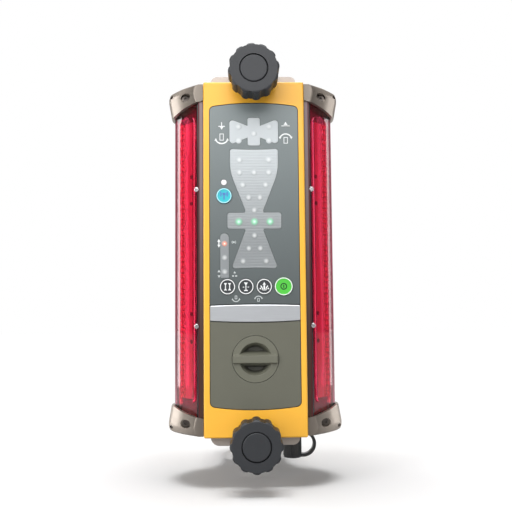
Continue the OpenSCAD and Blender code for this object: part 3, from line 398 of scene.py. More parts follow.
class Finish(Nodes):
    """One material: its shader, and the patterns that feed it."""

    def __init__(self, name, **sockets):
        self.material = bpy.data.materials.new(name)
        self.material.use_nodes = True
        super().__init__(self.material.node_tree)
        self.shader = self.tree.nodes["Principled BSDF"]
        for key, value in sockets.items():
            self.shader.inputs[key.replace("_", " ")].default_value = value
        MATERIALS[name] = self.material

    def feed(self, name, wire):
        self.tree.links.new(wire.socket, self.shader.inputs[name])

    def place(self, scale=(1, 1, 1), turn=(0, 0, 0), move=(0, 0, 0)):
        """Points on the piece in metres, scaled and turned."""
        point = self.node("ShaderNodeTexCoord", output="Object")
        return self.node("ShaderNodeMapping", None,
                         {"Vector": point, "Scale": scale, "Rotation": turn, "Location": move})

    def along(self, axis):
        """How far along one axis a point on the piece is, in metres."""
        return self.part(self.place(), axis)

    def grain(self, millimetres, detail=2.0, roughness=0.5, stretch=(1, 1, 1)):
        """A cloudy pattern whose spots are about this size."""
        return self.node("ShaderNodeTexNoise", None, {
            "Vector": self.place(stretch), "Scale": 1 / (millimetres * MM), "Detail": detail,
            "Roughness": roughness})

    def shades(self, share, first, second):
        """A colour between two, by a share from 0 to 1."""
        return self.node("ShaderNodeMix", {"data_type": "RGBA"}, {0: share, 6: first, 7: second}, 2)

    def relief(self, height, millimetres):
        """Raises the surface by a pattern."""
        self.feed("Normal", self.node("ShaderNodeBump", None, {
            "Height": height, "Strength": 1.0, "Distance": millimetres * MM}))

    def between(self, value, low, high):
        """A value moved from 0 to 1 into low to high."""
        return low + value * (high - low)

    def darken(self, share, colour):
        """Mixes another colour over the one so far, by a share from 0 to 1."""
        so_far = Wire(self, self.shader.inputs["Base Color"].links[0].from_socket)
        self.feed("Base Color", self.shades(share, so_far, colour))

    def paint_shade_deep(self, node, low, high, strength, colour):
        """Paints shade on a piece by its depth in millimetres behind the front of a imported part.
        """
        depth = self.along("Y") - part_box(node)[0].y
        self.darken(self.ease(depth, low * MM, high * MM) * strength, colour)


def scaled(colour, factor):
    return (*(min(1.0, part * factor) for part in colour[:3]), 1.0)


def moulded(name, colour, roughness, vary=0.05, grain=0.35, depth=0.02, clouds=(14, 3, 0.5),
            detail=3, swing=0.08, **sockets):
    """Moulded plastic or rubber: faint clouds of tone and a fine eroded texture."""
    made = Finish(name, **sockets)
    fine = made.grain(grain, detail, 0.6)
    made.feed("Base Color", made.shades(made.grain(*clouds), scaled(colour, 1 - vary),
                                        scaled(colour, 1 + vary)))
    made.feed("Roughness", made.between(fine, roughness - swing, roughness + swing))
    made.relief(fine, depth)
    return made


def metal(name, colour, roughness, vary=0.08, grain=0.5, depth=0.012, metallic=1.0):
    """Cast, turned or plated metal with a fine uneven skin."""
    moulded(name, colour, roughness, vary, grain, depth, clouds=(9, 4, 0.6), detail=2, swing=0.07,
            Metallic=metallic)


def milky(name, colour, lamp=None, stops=None):
    """A milky lens with painted shade that makes it paler towards the top, or a lamp's dome on it:
    its reach, strength and glow.
    """
    made = Finish(name, Roughness=0.45, Coat_Weight=0.1, Coat_Roughness=0.25,
                  Subsurface_Weight=0.25, Subsurface_Radius=(1, 1, 1), Subsurface_Scale=1.5 * MM)
    # Painted shade: darker towards the foot and paler towards the top
    height = made.ease(made.along("Z"), 0, 115 * MM)
    plain = made.shades(height, scaled(colour, 0.44), colour)
    plain = made.shades(made.grain(6, 3) * 0.1, plain, scaled(colour, 0.4))
    if lamp:
        reach, strength, glow = lamp
        out = (1 - made.part(made.node("ShaderNodeUVMap"), "Y")) * 2
        tint = made.node("ShaderNodeValToRGB", {"stops": stops}, {"Fac": out})
        share = (1 - made.ease(out, 0, reach)) * strength
        plain = made.shades(share, plain, tint)
        made.feed("Emission Color", made.shades(share, (0, 0, 0, 1), tint))
        made.shader.inputs["Emission Strength"].default_value = glow
    made.feed("Base Color", plain)


# Colour of the painted shade in seams and hollows
SEAM_SHADE = tone(14, 13, 12)
# Depths in millimetres over which a flat piece's rounded rim turns dark with painted shade in the
# seam
SEAM_SHADE_START, SEAM_SHADE_END = 0.04, 0.12


def make_shell_finish(colours):
    """Yellow, with painted shade in the recess behind panel, bar and door, which shows only in the
    seams.
    """
    made = moulded("yellow_housing", colours.housing, 0.4, vary=0.035, grain=0.45, depth=0.012,
                   Coat_Weight=0.12)
    nearest, deepest, half_width, half_height = 0.05 * MM, 4.2 * MM, 38.3 * MM, 140 * MM
    point = made.place()
    depth = made.part(point, "Y") + MAST_DEPTH * MM
    # Painted shade on the recess floor, which shows only through the seams
    inside = (depth > nearest) * (depth < deepest) * (abs(made.part(point, "X")) < half_width)
    made.darken(inside * (abs(made.part(point, "Z")) < half_height), tone(16, 14, 12))


def make_door_and_bar_finishes(colours):
    door = moulded("door_grey", colours.door, 0.5, vary=0.04, grain=0.4, depth=0.022)
    # Painted shade in the seam round the door's rim
    door.paint_shade_deep("battery_door", SEAM_SHADE_START, SEAM_SHADE_END, 1.0, SEAM_SHADE)
    # A lighter copy of the door grey, as painted light where the latch's ring and grip catch the
    # light
    latch = moulded("latch_grey", scaled(colours.door, 1.16), 0.42, grain=0.4, depth=0.016)
    # Painted shade in the latch's dish, from its rim down to its floor
    rim, dish = 4.0, 9.8
    latch.paint_shade_deep("latch_knob", rim, dish, 0.7, SEAM_SHADE)
    trim = Finish("silver_trim", Metallic=0.85)
    brushed = trim.grain(0.25, 3, 0.6, stretch=(0.02, 1, 1))
    trim.feed("Base Color", trim.shades(brushed, scaled(colours.trim, 0.86), colours.trim))
    trim.feed("Roughness", trim.between(brushed, 0.26, 0.42))
    trim.relief(brushed, 0.004)


def make_knob_finish(colours):
    """Black, with painted shade towards the back and in the hollows between the lobes."""
    made = moulded("knob_black", colours.knob, 0.5, vary=0.06, grain=0.38, depth=0.03)
    # Painted shade on the knobs' sides, deeper towards the back
    made.paint_shade_deep("upper_knob", 0.8, 5, 0.5, tone(14, 14, 16))
    low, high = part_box("upper_knob")
    axis = (0, 0, (low.z + high.z) / 2)
    near = made.node("ShaderNodeVectorMath", {"operation": "ABSOLUTE"}, {0: made.place((1, 0, 1))})
    away = made.node("ShaderNodeVectorMath", {"operation": "DISTANCE"}, {0: near, 1: axis}, "Value")
    hollow_radius, lobe_radius = 19.5 * MM, 20.9 * MM
    hollow = 1 - made.ease(away, hollow_radius, lobe_radius)
    behind = made.ease(made.along("Y") - low.y, 0.6 * MM, 1.6 * MM)
    # Painted shade in the hollows between the lobes, behind the front face
    made.darken(hollow * behind * 0.85, tone(6, 6, 7))


def make_frame_finish(colours):
    """Grey, with painted shade that makes it browner towards the foot, maroon beside the window and
    dark beside the housing.
    """
    made = moulded("frame_grey", colours.frame, 0.42, grain=0.4, depth=0.01, Metallic=0.3)
    foot, top, housing_side, window_side = -100 * MM, 100 * MM, 43.7 * MM, 46.4 * MM
    # Painted shade: browner towards the foot
    made.darken(1 - made.ease(made.along("Z"), foot, top), tone(68, 44, 32))
    out = abs(made.along("X"))
    made.darken(out > window_side, tone(78, 18, 24))
    made.darken(out < housing_side, tone(40, 34, 28))


def make_panel_finish(colours):
    """A fine weave, with painted shade that turns it paler from the foot to the top."""
    made = Finish("panel_grey", Coat_Weight=0.15, Coat_Roughness=0.2)
    # Height over which the painted shade changes, and its share of the change at mid-body
    climb, middle = 170 * MM, 0.26
    height = made.part(made.place((1, 1, 1 / climb), move=(0, 0, middle)), "Z")
    weave = made.grain(0.3, 2, 0.7)
    tint = made.shades(height, scaled(colours.panel, 0.42), scaled(colours.panel, 1.1))
    made.feed("Base Color", made.shades(weave * 0.22, tint, scaled(colours.panel, 0.7)))
    made.feed("Roughness", made.between(weave, 0.3, 0.46))
    made.relief(weave, 0.008)
    # Painted shade in the seam round the panel's rim
    made.paint_shade_deep("keypad_panel", SEAM_SHADE_START, SEAM_SHADE_END, 1.0, SEAM_SHADE)


def make_guard_finish(colours):
    """Painted metal with fine flakes, and a painted reflection that makes it paler to the outside.
    """
    made = Finish("champagne_metal", Metallic=0.55)
    made.relief(made.grain(0.3, 2, 0.6), 0.006)
    inner, outer = 44 * MM, 68 * MM
    flakes = made.node("ShaderNodeTexVoronoi", None,
                       {"Vector": made.place(), "Scale": 1 / (0.18 * MM)}, "Color")
    sparkle = made.node("ShaderNodeSeparateColor", None, {"Color": flakes})
    # Painted reflection: darker at the inner edge and paler to the outside
    out = made.ease(abs(made.along("X")), inner, outer)
    base = made.shades(out, scaled(colours.guard, 0.58), scaled(colours.guard, 1.5))
    made.feed("Base Color", made.shades(sparkle * 0.2, base, scaled(colours.guard, 0.5)))
    made.feed("Roughness", made.between(sparkle, 0.28, 0.4))


def make_metal_finishes():
    metal("cast_aluminium", tone(172, 163, 156), 0.4, vary=0.06, grain=0.7, depth=0.02,
          metallic=0.5)
    metal("steel", tone(198, 198, 200), 0.24, vary=0.05, grain=0.4, depth=0.004)
    metal("dark_steel", tone(92, 86, 82), 0.4, grain=0.4, depth=0.004)
    metal("brass", tone(205, 172, 96), 0.3)
    metal("connector_metal", tone(176, 178, 182), 0.3, vary=0.05, grain=0.3, depth=0.006)


def make_display_finishes(colours):
    milky("milky_lens", colours.lens)
    pale = tone(250, 252, 252)
    milky("lamp_clear", colours.lens, (0.62, 0.5, 0.0), ((0.0, pale), (1.0, pale)))
    milky("level_lit", colours.lens, (0.7, 0.9, 0.2), (
        (0.0, tone(226, 250, 236)), (0.25, tone(140, 225, 180)), (0.6, colours.level_light)))
    milky("offset_lit", colours.lens, (0.7, 0.95, 0.35), (
        (0.0, tone(255, 236, 228)), (0.25, tone(250, 150, 120)), (0.6, colours.offset_light)))
    moulded("indicator_white", tone(244, 240, 243), 0.3, vary=0.02, grain=0.5, depth=0.004,
            Coat_Weight=0.3)


def make_key_finishes(colours):
    moulded("blue_key", colours.blue_key, 0.36, grain=0.5, depth=0.008)
    moulded("dark_key", colours.dark_key, 0.42, vary=0.06, grain=0.5, depth=0.01)
    moulded("green_key", colours.green_key, 0.36, grain=0.5, depth=0.008)
    inks = {"white_ink": colours.ink, "pale_blue_ink": tone(186, 236, 246),
            "violet_ink": tone(84, 104, 190), "grey_ink": tone(196, 202, 202),
            "green_ink": tone(16, 56, 24)}
    for name, colour in inks.items():
        moulded(name, colour, 0.4, vary=0.03, grain=0.4, depth=0.004)


def make_window_finish(colours):
    """Clear red, with a darker tint where the outer rounding starts."""
    made = Finish("red_window", Transmission_Weight=1.0, IOR=1.45)
    clouds = made.grain(22, 2)
    tint = made.shades(clouds, scaled(colours.window, 0.92), colours.window)
    out = abs(made.along("X"))
    starts, full_from, full_to, ends = 65.6 * MM, 67.0 * MM, 69.2 * MM, 70.3 * MM
    edge = made.ease(out, starts, full_from) * (1 - made.ease(out, full_to, ends))
    made.feed("Base Color", made.shades(edge, tint, tone(118, 58, 66)))
    made.feed("Roughness", made.between(made.grain(3, 2), 0.02, 0.05))


def traced(name, roughness, scale, offset, first, second, line, width):
    """A circuit board with fine lines on it."""
    made = Finish(name, Roughness=roughness)
    made.feed("Base Color", made.node("ShaderNodeTexBrick", {"offset": offset}, {
        "Vector": made.place(turn=FACING), "Scale": scale, "Color1": first, "Color2": second,
        "Mortar": line, "Mortar Size": width}))
    return made


def make_inner_finishes():
    sensor = traced("white_board", 0.5, 400.0, 0.5, tone(240, 240, 238), tone(230, 232, 232),
                    tone(214, 214, 210), 0.03)
    outer_column = 58.2 * MM
    sensor.darken(abs(sensor.along("X")) > outer_column, tone(206, 34, 42))
    traced("green_board", 0.42, 260.0, 0.37, tone(24, 82, 52), tone(30, 94, 60),
           tone(52, 122, 84), 0.04)
    moulded("black_rubber", tone(34, 34, 36), 0.36, vary=0.12, grain=0.5, Coat_Weight=0.4)
    moulded("cell_jacket", tone(58, 92, 128), 0.32, vary=0.06, grain=0.8, depth=0.004)
    for name, colour, roughness, vary in (
            ("sensor_face", tone(240, 110, 104), 0.28, 0.1),
            ("black_plastic", tone(44, 44, 46), 0.5, 0.08),
            ("carrier_dark", tone(112, 66, 56), 0.5, 0.08),
            ("clip_dark", tone(96, 92, 92), 0.5, 0.08),
            ("lamp_body", tone(214, 222, 214), 0.24, 0.05),
            ("amber_lamp", tone(226, 176, 96), 0.24, 0.05),
            ("red_lamp", tone(208, 96, 88), 0.24, 0.05)):
        moulded(name, colour, roughness, vary)


class ReceiverPiece:
    """What the operators share."""

    bl_options = {"REGISTER", "UNDO"}
    GROUP = "receiver_sizes"

    def execute(self, context):
        self.build(getattr(context.scene, self.GROUP))
        return {"FINISHED"}


class RECEIVER_OT_finishes(ReceiverPiece, Operator):
    """Make the materials of all the pieces"""

    bl_idname = "receiver.finishes"
    bl_label = "Finishes"
    GROUP = "receiver_colours"

    def build(self, colours):
        for make in (make_shell_finish, make_door_and_bar_finishes, make_knob_finish,
                     make_frame_finish, make_panel_finish, make_guard_finish,
                     make_display_finishes, make_key_finishes, make_window_finish):
            make(colours)
        make_metal_finishes()
        make_inner_finishes()


class RECEIVER_OT_inside(ReceiverPiece, Operator):
    """Give the parts inside the housing and the small fasteners their materials"""

    bl_idname = "receiver.inside"
    bl_label = "Inner parts"

    FINISHES = {
        "steel": ("housing_screws", "board_screws", "latch_tongue", "bracket_bolts",
                  "upper_screw", "lower_screw", "cell_contacts"),
        "dark_steel": ("guard_screws",),
        "green_board": ("main_board",),
        "black_plastic": ("board_parts", "battery_bay", "battery_tray"),
        "black_rubber": ("housing_seal", "door_seal", "window_gaskets"),
        "brass": ("bay_contacts", "upper_nut", "lower_nut"),
        "cell_jacket": ("battery_cells",),
        "carrier_dark": ("sensor_carriers",),
        "white_board": ("sensor_boards",),
        "sensor_face": ("photodiodes",),
        "lamp_body": ("level_lamps", "tilt_lamps"),
        "amber_lamp": ("grade_lamps",),
        "red_lamp": ("offset_lamps",),
    }

    def build(self, sizes):
        for material, nodes in self.FINISHES.items():
            for node in nodes:
                coat(node, material)


class RECEIVER_OT_shells(ReceiverPiece, Operator):
    """Round the edges of the two housing shells and the side frames"""

    bl_idname = "receiver.shells"
    bl_label = "Housing shells"

    def build(self, sizes):
        for node in ("front_housing", "rear_housing"):
            replace(node, sizes.shell_edge, "yellow_housing")
        replace("side_frames", sizes.trim_edge, "frame_grey")


class RECEIVER_OT_guards(ReceiverPiece, Operator):
    """Round the edges of the four corner guards"""

    bl_idname = "receiver.guards"
    bl_label = "Corner guards"

    def build(self, sizes):
        for end, side in product(("upper", "lower"), ("left", "right")):
            replace(f"{end}_{side}_guard", sizes.cast_edge, "champagne_metal", segments=3)


class RECEIVER_OT_windows(ReceiverPiece, Operator):
    """Round the windows' raised bands, and model the screws beside them and the boards' clips"""

    bl_idname = "receiver.windows"
    bl_label = "Red windows"

    # All in millimetres: across, back from the front face and up
    SCREW = (49.1, 8.4, 58.2)
    HEAD_RADIUS, HEAD_HEIGHT, HEAD_ROUNDING = 2.2, 1.7, 0.7
    SHAFT_RADIUS, SHAFT_LENGTH = 1.3, 9.5
    # Length, width and height of a cutting bar, and how far back its middle is
    CROSS = (2.2, 0.5, 1.2, 0.2)
    # Across and back to the boards' inner edges, the boards' slant and the clips' heights
    CLIP = (52.9, 20.7)
    CLIP_RADIUS, CLIP_HEIGHT, CLIP_EDGE = 1.8, 0.7, 0.2
    FACET = math.radians(48.5)
    CLIP_HEIGHTS = (47.8, 71.4)
    BODY_DEPTH = 80

    def build(self, sizes):
        for node in ("left_window", "right_window"):
            replace(node, sizes.window_edge, "red_window", segments=3)
        self.screws()
        self.clips()

    def clips(self):
        """Dark buttons that hold the sensor boards, on their inner edges."""
        clip = joined("clip", [
            start(bpy.ops.mesh.primitive_cylinder_add, "clip", vertices=24,
                  radius=self.CLIP_RADIUS * MM, depth=self.CLIP_HEIGHT * MM,
                  location=spot(*self.CLIP, z), rotation=(*FACING[:2], self.FACET))
            for z in self.CLIP_HEIGHTS])
        soften(clip, self.CLIP_EDGE * MM)
        finish(joined("board_clips", self.at_corners(clip)), "clip_dark", "housing",
               "sensor_dark")

    def screws(self):
        x, floor, z = self.SCREW
        head = start(bpy.ops.mesh.primitive_cylinder_add, "window_screw_front", vertices=40,
                     radius=self.HEAD_RADIUS * MM, depth=self.HEAD_HEIGHT * MM, rotation=FACING,
                     location=spot(x, floor - self.HEAD_HEIGHT / 2, z))
        with Editing(head) as work:
            back = spot(x, floor, z).y - NEAR
            work.pick(lambda face: face.calc_center_median().y > back)
            bpy.ops.mesh.inset(thickness=(self.HEAD_RADIUS - self.SHAFT_RADIUS) * MM)
            bpy.ops.mesh.extrude_region_move(TRANSFORM_OT_translate={
                "value": (0, self.SHAFT_LENGTH * MM, 0)})
        with Editing(head, "EDGE") as work:
            front = spot(x, floor - self.HEAD_HEIGHT, z).y + NEAR
            work.pick(lambda edge: all(v.co.y < front for v in edge.verts))
            bpy.ops.mesh.bevel(offset=self.HEAD_ROUNDING * MM, segments=4, affect="EDGES")
        self.cross(head, x, floor - self.HEAD_HEIGHT, z)
        soften(head, 0)
        finish(joined("window_screws_dressed", self.at_corners(head)), "steel", "housing",
               "steel", "window_screws")

    def cross(self, head, x, depth, z):
        """Cuts the driver's cross into the screw's head."""
        length, width, height, back = self.CROSS
        for wide, high in ((length, width), (width, length)):
            bar = start(bpy.ops.mesh.primitive_cube_add, "cross_bar", size=1,
                        location=spot(x, depth + back, z), scale=Vector((wide, height, high)) * MM)
            modify(head, "BOOLEAN", operation="DIFFERENCE", solver="EXACT", object=bar)
            bpy.data.objects.remove(bar)

    def at_corners(self, piece):
        """The piece with its mirror images in the other seven corners of the body."""
        made = [piece]
        middle = spot(0, self.BODY_DEPTH / 2, 0).y
        for across, up, back in list(product((1, -1), repeat=3))[1:]:
            flip = Matrix.Diagonal((across, back, up, 1))
            made.append(copied(piece, Matrix.Translation((0, middle * (1 - back), 0)) @ flip))
        return made


class RECEIVER_OT_panel(ReceiverPiece, Operator):
    """Round the edges of the keypad panel and the bare name bar, and print the panel's marks"""

    bl_idname = "receiver.panel"
    bl_label = "Keypad panel"

    FACE = 0.2
    BAR_ROUNDING = 0.9
    # Arrows at a line, the tilt signs below them and a double arrow beside the offset display
    MARKS = {
        "bar": ((-27.3, 112.2, 0.7, 5.4), (-27.3, 111.3, 5.6, 0.8), (27.2, 111.5, 7.0, 0.8),
                (-30.0, 11.3, 0.8, 3.0)),
        "triangle": ((-27.3, 110.1, 1.8, -1), (27.2, 112.4, 2.8, 1), (-30.0, 13.3, 1.6, 1),
                     (-30.0, 9.3, 1.6, -1)),
        "swing": ((-27.3, 102.0, 5.6, 1.1, -1), (27.2, 99.1, 5.4, 1.1, 1)),
        "bottle": ((-27.3, 102.0, 3.6, 6.0, 0.6), (27.2, 99.0, 3.6, 5.6, 0.6)),
    }
    # Signs beside the offset display and tilt signs under the keys
    SMALL_MARKS = {
        "triangle": ((-30.0, -12.4, 1.4, 1), (-30.0, -16.4, 1.4, -1), (-16.9, -13.5, 1.2, 1)),
        "bar": ((-18.2, -16.3, 1.6, 1.1), (-15.6, -16.3, 1.6, 1.1)),
        "arc": ((-17.4, 12.1, 0.4, 0.8), (-17.4, 12.1, 1.6, 0.5, -45, 45),
                (-17.4, 12.1, 1.6, 0.5, 135, 225)),
        "swing": ((-15.9, -34.4, 3.3, 0.7, -1), (2.9, -36.6, 3.3, 0.7, 1)),
        "bottle": ((-15.9, -34.2, 2.0, 3.0, 0.5), (2.9, -36.4, 2.0, 3.0, 0.5)),
    }

    def build(self, sizes):
        replace("keypad_panel", sizes.trim_edge, "panel_grey")
        self.bar()
        for name, marks, ink in (("panel_marks", self.MARKS, "white_ink"),
                                 ("panel_small_marks", self.SMALL_MARKS, "grey_ink")):
            printed(name, ink, "housing", Pen(sizes, self.FACE), marks)

    def bar(self):
        """Rounds the long edges of the name bar."""
        bar = dress("name_bar", 0)
        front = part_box("name_bar")[0].y + NEAR

        def long_edge(edge):
            along = edge.verts[1].co - edge.verts[0].co
            flat = len({round(face.normal.y, 2) for face in edge.link_faces}) == 1
            return (all(v.co.y < front for v in edge.verts) and not flat
                    and abs(along.x) > abs(along.z))

        with Editing(bar, "EDGE") as work:
            work.pick(long_edge)
            bpy.ops.mesh.bevel(offset=self.BAR_ROUNDING * MM, segments=4, affect="EDGES")
        soften(bar, 0)
        finish(bar, "silver_trim", "housing", "silver_trim", "name_bar")


class Pen:
    """Draws thin raised marks that face the front, placed and sized in millimetres."""

    BAR_CORNER, TRIANGLE_CORNER, SMOOTH_TO = 0.12, 0.15, math.radians(30)
    # Half of a swing's angle, and where its heads are in shares of its radius
    SWING, HEAD_ACROSS, HEAD_UP, HEAD_SIZE = 58, 0.88, 0.42, 1.3

    def __init__(self, sizes, depth):
        self.sizes, self.depth, self.marks = sizes, depth, []

    def _keep(self, piece):
        face_outwards(piece)
        modify(piece, "SOLIDIFY", thickness=self.sizes.ink_height, offset=0)
        face_outwards(piece)
        self.marks.append(piece)

    def _shape(self, add, x, z, stretch, turn, corner, **settings):
        centre = spot(x, self.depth, z)
        piece = start(add, "mark", rotation=FACING, location=centre, **settings)
        with Editing(piece, "VERT", "SELECT"):
            bpy.ops.transform.resize(value=stretch, center_override=centre)
            if turn:
                bpy.ops.transform.rotate(value=math.radians(turn), orient_axis="Y",
                                         center_override=centre)
            bpy.ops.mesh.bevel(offset=corner * MM, segments=2, affect="VERTICES")
        self._keep(piece)

    def bar(self, x, z, wide, high, turn=0):
        self._shape(bpy.ops.mesh.primitive_plane_add, x, z, (wide * MM, 1, high * MM), turn,
                    self.BAR_CORNER, size=1)

    def triangle(self, x, z, radius, point):
        """A triangle that points up or down."""
        self._shape(bpy.ops.mesh.primitive_circle_add, x, z, (1, 1, 1), 0 if point > 0 else 180,
                    self.TRIANGLE_CORNER, vertices=3, radius=radius * MM, fill_type="NGON")

    def arc(self, x, z, radius, width, first=0, last=360):
        """A ring, or part of one, its angles in degrees from the right, upwards."""
        centre = spot(x, self.depth, z)
        outer = radius + width / 2
        piece = start(bpy.ops.mesh.primitive_circle_add, "mark", vertices=72, radius=outer * MM,
                      rotation=FACING, location=centre)
        with Editing(piece, "EDGE", "SELECT"):
            share = (outer - width) / outer
            bpy.ops.mesh.extrude_edges_move()
            bpy.ops.transform.resize(value=(share, share, share), center_override=centre)

        def outside(face):
            away = face.calc_center_median() - centre
            turn = math.degrees(math.atan2(away.z, away.x)) - first
            return turn % 360 > last - first

        with Editing(piece) as work:
            if work.pick(outside):
                bpy.ops.mesh.delete(type="FACE")
        self._keep(piece)

    def swing(self, x, z, radius, width, up):
        """An arc with a head at each end, curved up or down."""
        middle = 180 - 90 * up
        self.arc(x, z, radius, width, middle - self.SWING, middle + self.SWING)
        for side in (-1, 1):
            self.triangle(x + side * radius * self.HEAD_ACROSS, z + up * radius * self.HEAD_UP,
                          width * self.HEAD_SIZE, -up)

    def bottle(self, x, z, wide, high, line):
        """The outline of an upright body."""
        for side in (-1, 1):
            self.bar(x + side * (wide - line) / 2, z, line, high)
            self.bar(x, z + side * (high - line) / 2, wide, line)


def printed(name, ink, body, pen, marks, x=0, z=0):
    """Draws a table of marks, each placed from this point, as one piece."""
    for kind, group in marks.items():
        for across, up, *numbers in group:
            getattr(pen, kind)(x + across, z + up, *numbers)
    made = joined(name, pen.marks)
    bpy.ops.object.shade_smooth_by_angle(angle=pen.SMOOTH_TO)
    finish(made, ink, body, "panel_grey")


class RECEIVER_OT_keys(ReceiverPiece, Operator):
    """Colour the five keys and print their rings and signs"""

    bl_idname = "receiver.keys"
    bl_label = "Keys"

    # How far the rims and the dishes are back from the front face, in millimetres
    RIM, DISH = -0.8, -0.55
    EDGE, POWER_EDGE, RING_INSET = 0.2, 0.8, 0.1
    # Material, inks of the ring and the sign, place across and up, and radius
    KEYS = {
        "wireless_key": ("blue_key", "pale_blue_ink", "violet_ink", -25.5, 51.5, 6.4),
        "first_key": ("dark_key", "white_ink", "white_ink", -22.9, -25.3, 6.4),
        "second_key": ("dark_key", "white_ink", "white_ink", -7.55, -25.3, 6.4),
        "third_key": ("dark_key", "white_ink", "white_ink", 7.8, -25.3, 6.4),
        "power_key": ("green_key", "white_ink", "green_ink", 24.1, -25.3, 7.5),
    }
    # A mast that sends waves, two lines with arrows, an arrow to a broken line over a foot, a mast
    # that leans to both sides, and a stroke in a ring, the common sign for power
    SIGNS = {
        "wireless_key": {
            "bar": ((0, -1.0, 0.9, 4.4),),
            "arc": ((0, 1.6, 0.5, 1.0), (0, 1.4, 1.9, 0.7, -38, 38), (0, 1.4, 1.9, 0.7, 142, 218),
                    (0, 1.4, 3.2, 0.7, -38, 38), (0, 1.4, 3.2, 0.7, 142, 218))},
        "first_key": {
            "bar": ((-1.75, 0, 0.8, 3.4), (1.75, 0, 0.8, 3.4)),
            "triangle": ((-1.75, 2.3, 1.5, -1), (-1.75, -2.3, 1.5, 1), (1.75, 2.3, 1.5, -1),
                         (1.75, -2.3, 1.5, 1))},
        "second_key": {
            "triangle": ((0, 2.5, 1.9, -1),),
            "bar": ((0, 0.4, 0.7, 2.4), (-2, -0.4, 1.3, 0.6), (0, -0.4, 1.3, 0.6),
                    (2, -0.4, 1.3, 0.6), (0, -2.0, 0.7, 2.0), (0, -3.2, 3.2, 0.9))},
        "third_key": {
            "triangle": ((0, 2.2, 1.6, 1), (-3.3, -1.7, 1.0, 1), (3.3, -1.7, 1.0, 1)),
            "bar": ((0, -0.6, 1.3, 3.6), (-2.1, -0.6, 0.9, 3.2, 32), (2.1, -0.6, 0.9, 3.2, -32)),
            "arc": ((0, 0.6, 3.6, 0.6, 235, 305),)},
        "power_key": {"arc": ((0, 0, 2.4, 0.9),), "bar": ((0, 0, 0.9, 2.6),)},
    }

    def build(self, sizes):
        width = sizes.ring_width / MM
        for node, (material, ring_ink, sign_ink, x, z, radius) in self.KEYS.items():
            edge = self.POWER_EDGE if node == "power_key" else self.EDGE
            replace(node, edge * MM, material, node, segments=4)
            ring = {"arc": ((0, 0, radius - width / 2 - self.RING_INSET, width),)}
            printed(node + "_ring", ring_ink, node, Pen(sizes, self.RIM), ring, x, z)
            printed(node + "_sign", sign_ink, node, Pen(sizes, self.DISH), self.SIGNS[node], x, z)


class RECEIVER_OT_displays(ReceiverPiece, Operator):
    """Smooth the ribbed lenses and add the lamps' domes, four of them lit"""

    bl_idname = "receiver.displays"
    bl_label = "Lamp displays"

    INDICATOR_EDGE = 0.1
    LEVEL = ((-13.2, 29.4), (0, 29.4), (13.2, 29.4))
    GRADE = ((0, 39.1), (-4.8, 49.9), (4.8, 49.9), (-9.7, 60.7), (9.7, 60.7), (-12.4, 71.4),
             (0, 71.4), (12.4, 71.4), (-12.4, 82.2), (12.4, 82.2), (0, 17.6), (-4.8, 6.8),
             (4.8, 6.8), (-9.7, -4.0), (9.7, -4.0))
    TILT = ((-12.9, 98.9), (-12.9, 110.8), (0, 104.8), (12.9, 98.9), (12.9, 110.8))
    OFFSET = ((-25.2, -0.9), (-25.2, -12.8))
    OFFSET_LIT = ((-25.2, 10.9),)

    def build(self, sizes):
        for node in ("tilt_lens", "grade_lens", "offset_lens"):
            replace(node, 0, "milky_lens")
        replace("indicator_lens", self.INDICATOR_EDGE * MM, "indicator_white", slot="milky_lens")
        large, small = sizes.lamp_radius, sizes.offset_radius
        for name, places, radius, material in (
                ("grade_spots", self.GRADE, large, "lamp_clear"),
                ("tilt_spots", self.TILT, large, "lamp_clear"),
                ("offset_spots", self.OFFSET, small, "lamp_clear"),
                ("level_spots", self.LEVEL, sizes.level_radius, "level_lit"),
                ("offset_lit_spot", self.OFFSET_LIT, small, "offset_lit")):
            self.domes(name, places, radius, material, sizes)

    def domes(self, name, places, radius, material, sizes):
        """Low domes that rise out of a display, modelled once and copied."""
        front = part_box("grade_lens")[0].y / MM + MAST_DEPTH
        depth = front + (sizes.lamp_height - sizes.lamp_rise) / MM
        centres = [spot(x, depth, z) for x, z in places]
        centre = centres[0]
        dome = start(bpy.ops.mesh.primitive_uv_sphere_add, "dome", segments=32, ring_count=24,
                     radius=radius, location=centre, rotation=FACING)
        with Editing(dome, "VERT", "SELECT"):
            bpy.ops.transform.resize(value=(1, sizes.lamp_height / radius, 1),
                                     center_override=centre)
            bpy.ops.mesh.bisect(plane_co=centre, plane_no=(0, 1, 0), use_fill=True,
                                clear_outer=True)
        soften(dome, 0)
        others = [copied(dome, Matrix.Translation(other - centre)) for other in centres[1:]]
        finish(joined(name, [dome, *others]), material, "housing", "milky_lens")


class RECEIVER_OT_door(ReceiverPiece, Operator):
    """Round the edges of the battery door and its latch"""

    bl_idname = "receiver.door"
    bl_label = "Battery door"

    def build(self, sizes):
        replace("battery_door", sizes.trim_edge, "door_grey", "battery_holder")
        replace("latch_knob", sizes.trim_edge, "latch_grey", "latch", "door_grey")


class RECEIVER_OT_knobs(ReceiverPiece, Operator):
    """Round the lobes of the two clamp knobs and the edges of their caps"""

    bl_idname = "receiver.knobs"
    bl_label = "Clamp knobs"

    def build(self, sizes):
        for body in ("upper_knob", "lower_knob"):
            for node in (body, body + "_cap"):
                replace(node, sizes.knob_edge, "knob_black", body)


class RECEIVER_OT_clamps(ReceiverPiece, Operator):
    """Round the edges of the brackets and jaws of the two mast clamps"""

    bl_idname = "receiver.clamps"
    bl_label = "Mast clamps"

    def build(self, sizes):
        for end in ("upper", "lower"):
            replace(end + "_bracket", sizes.cast_edge, "cast_aluminium")
            replace(end + "_jaw", sizes.cast_edge, "cast_aluminium", end + "_jaw")


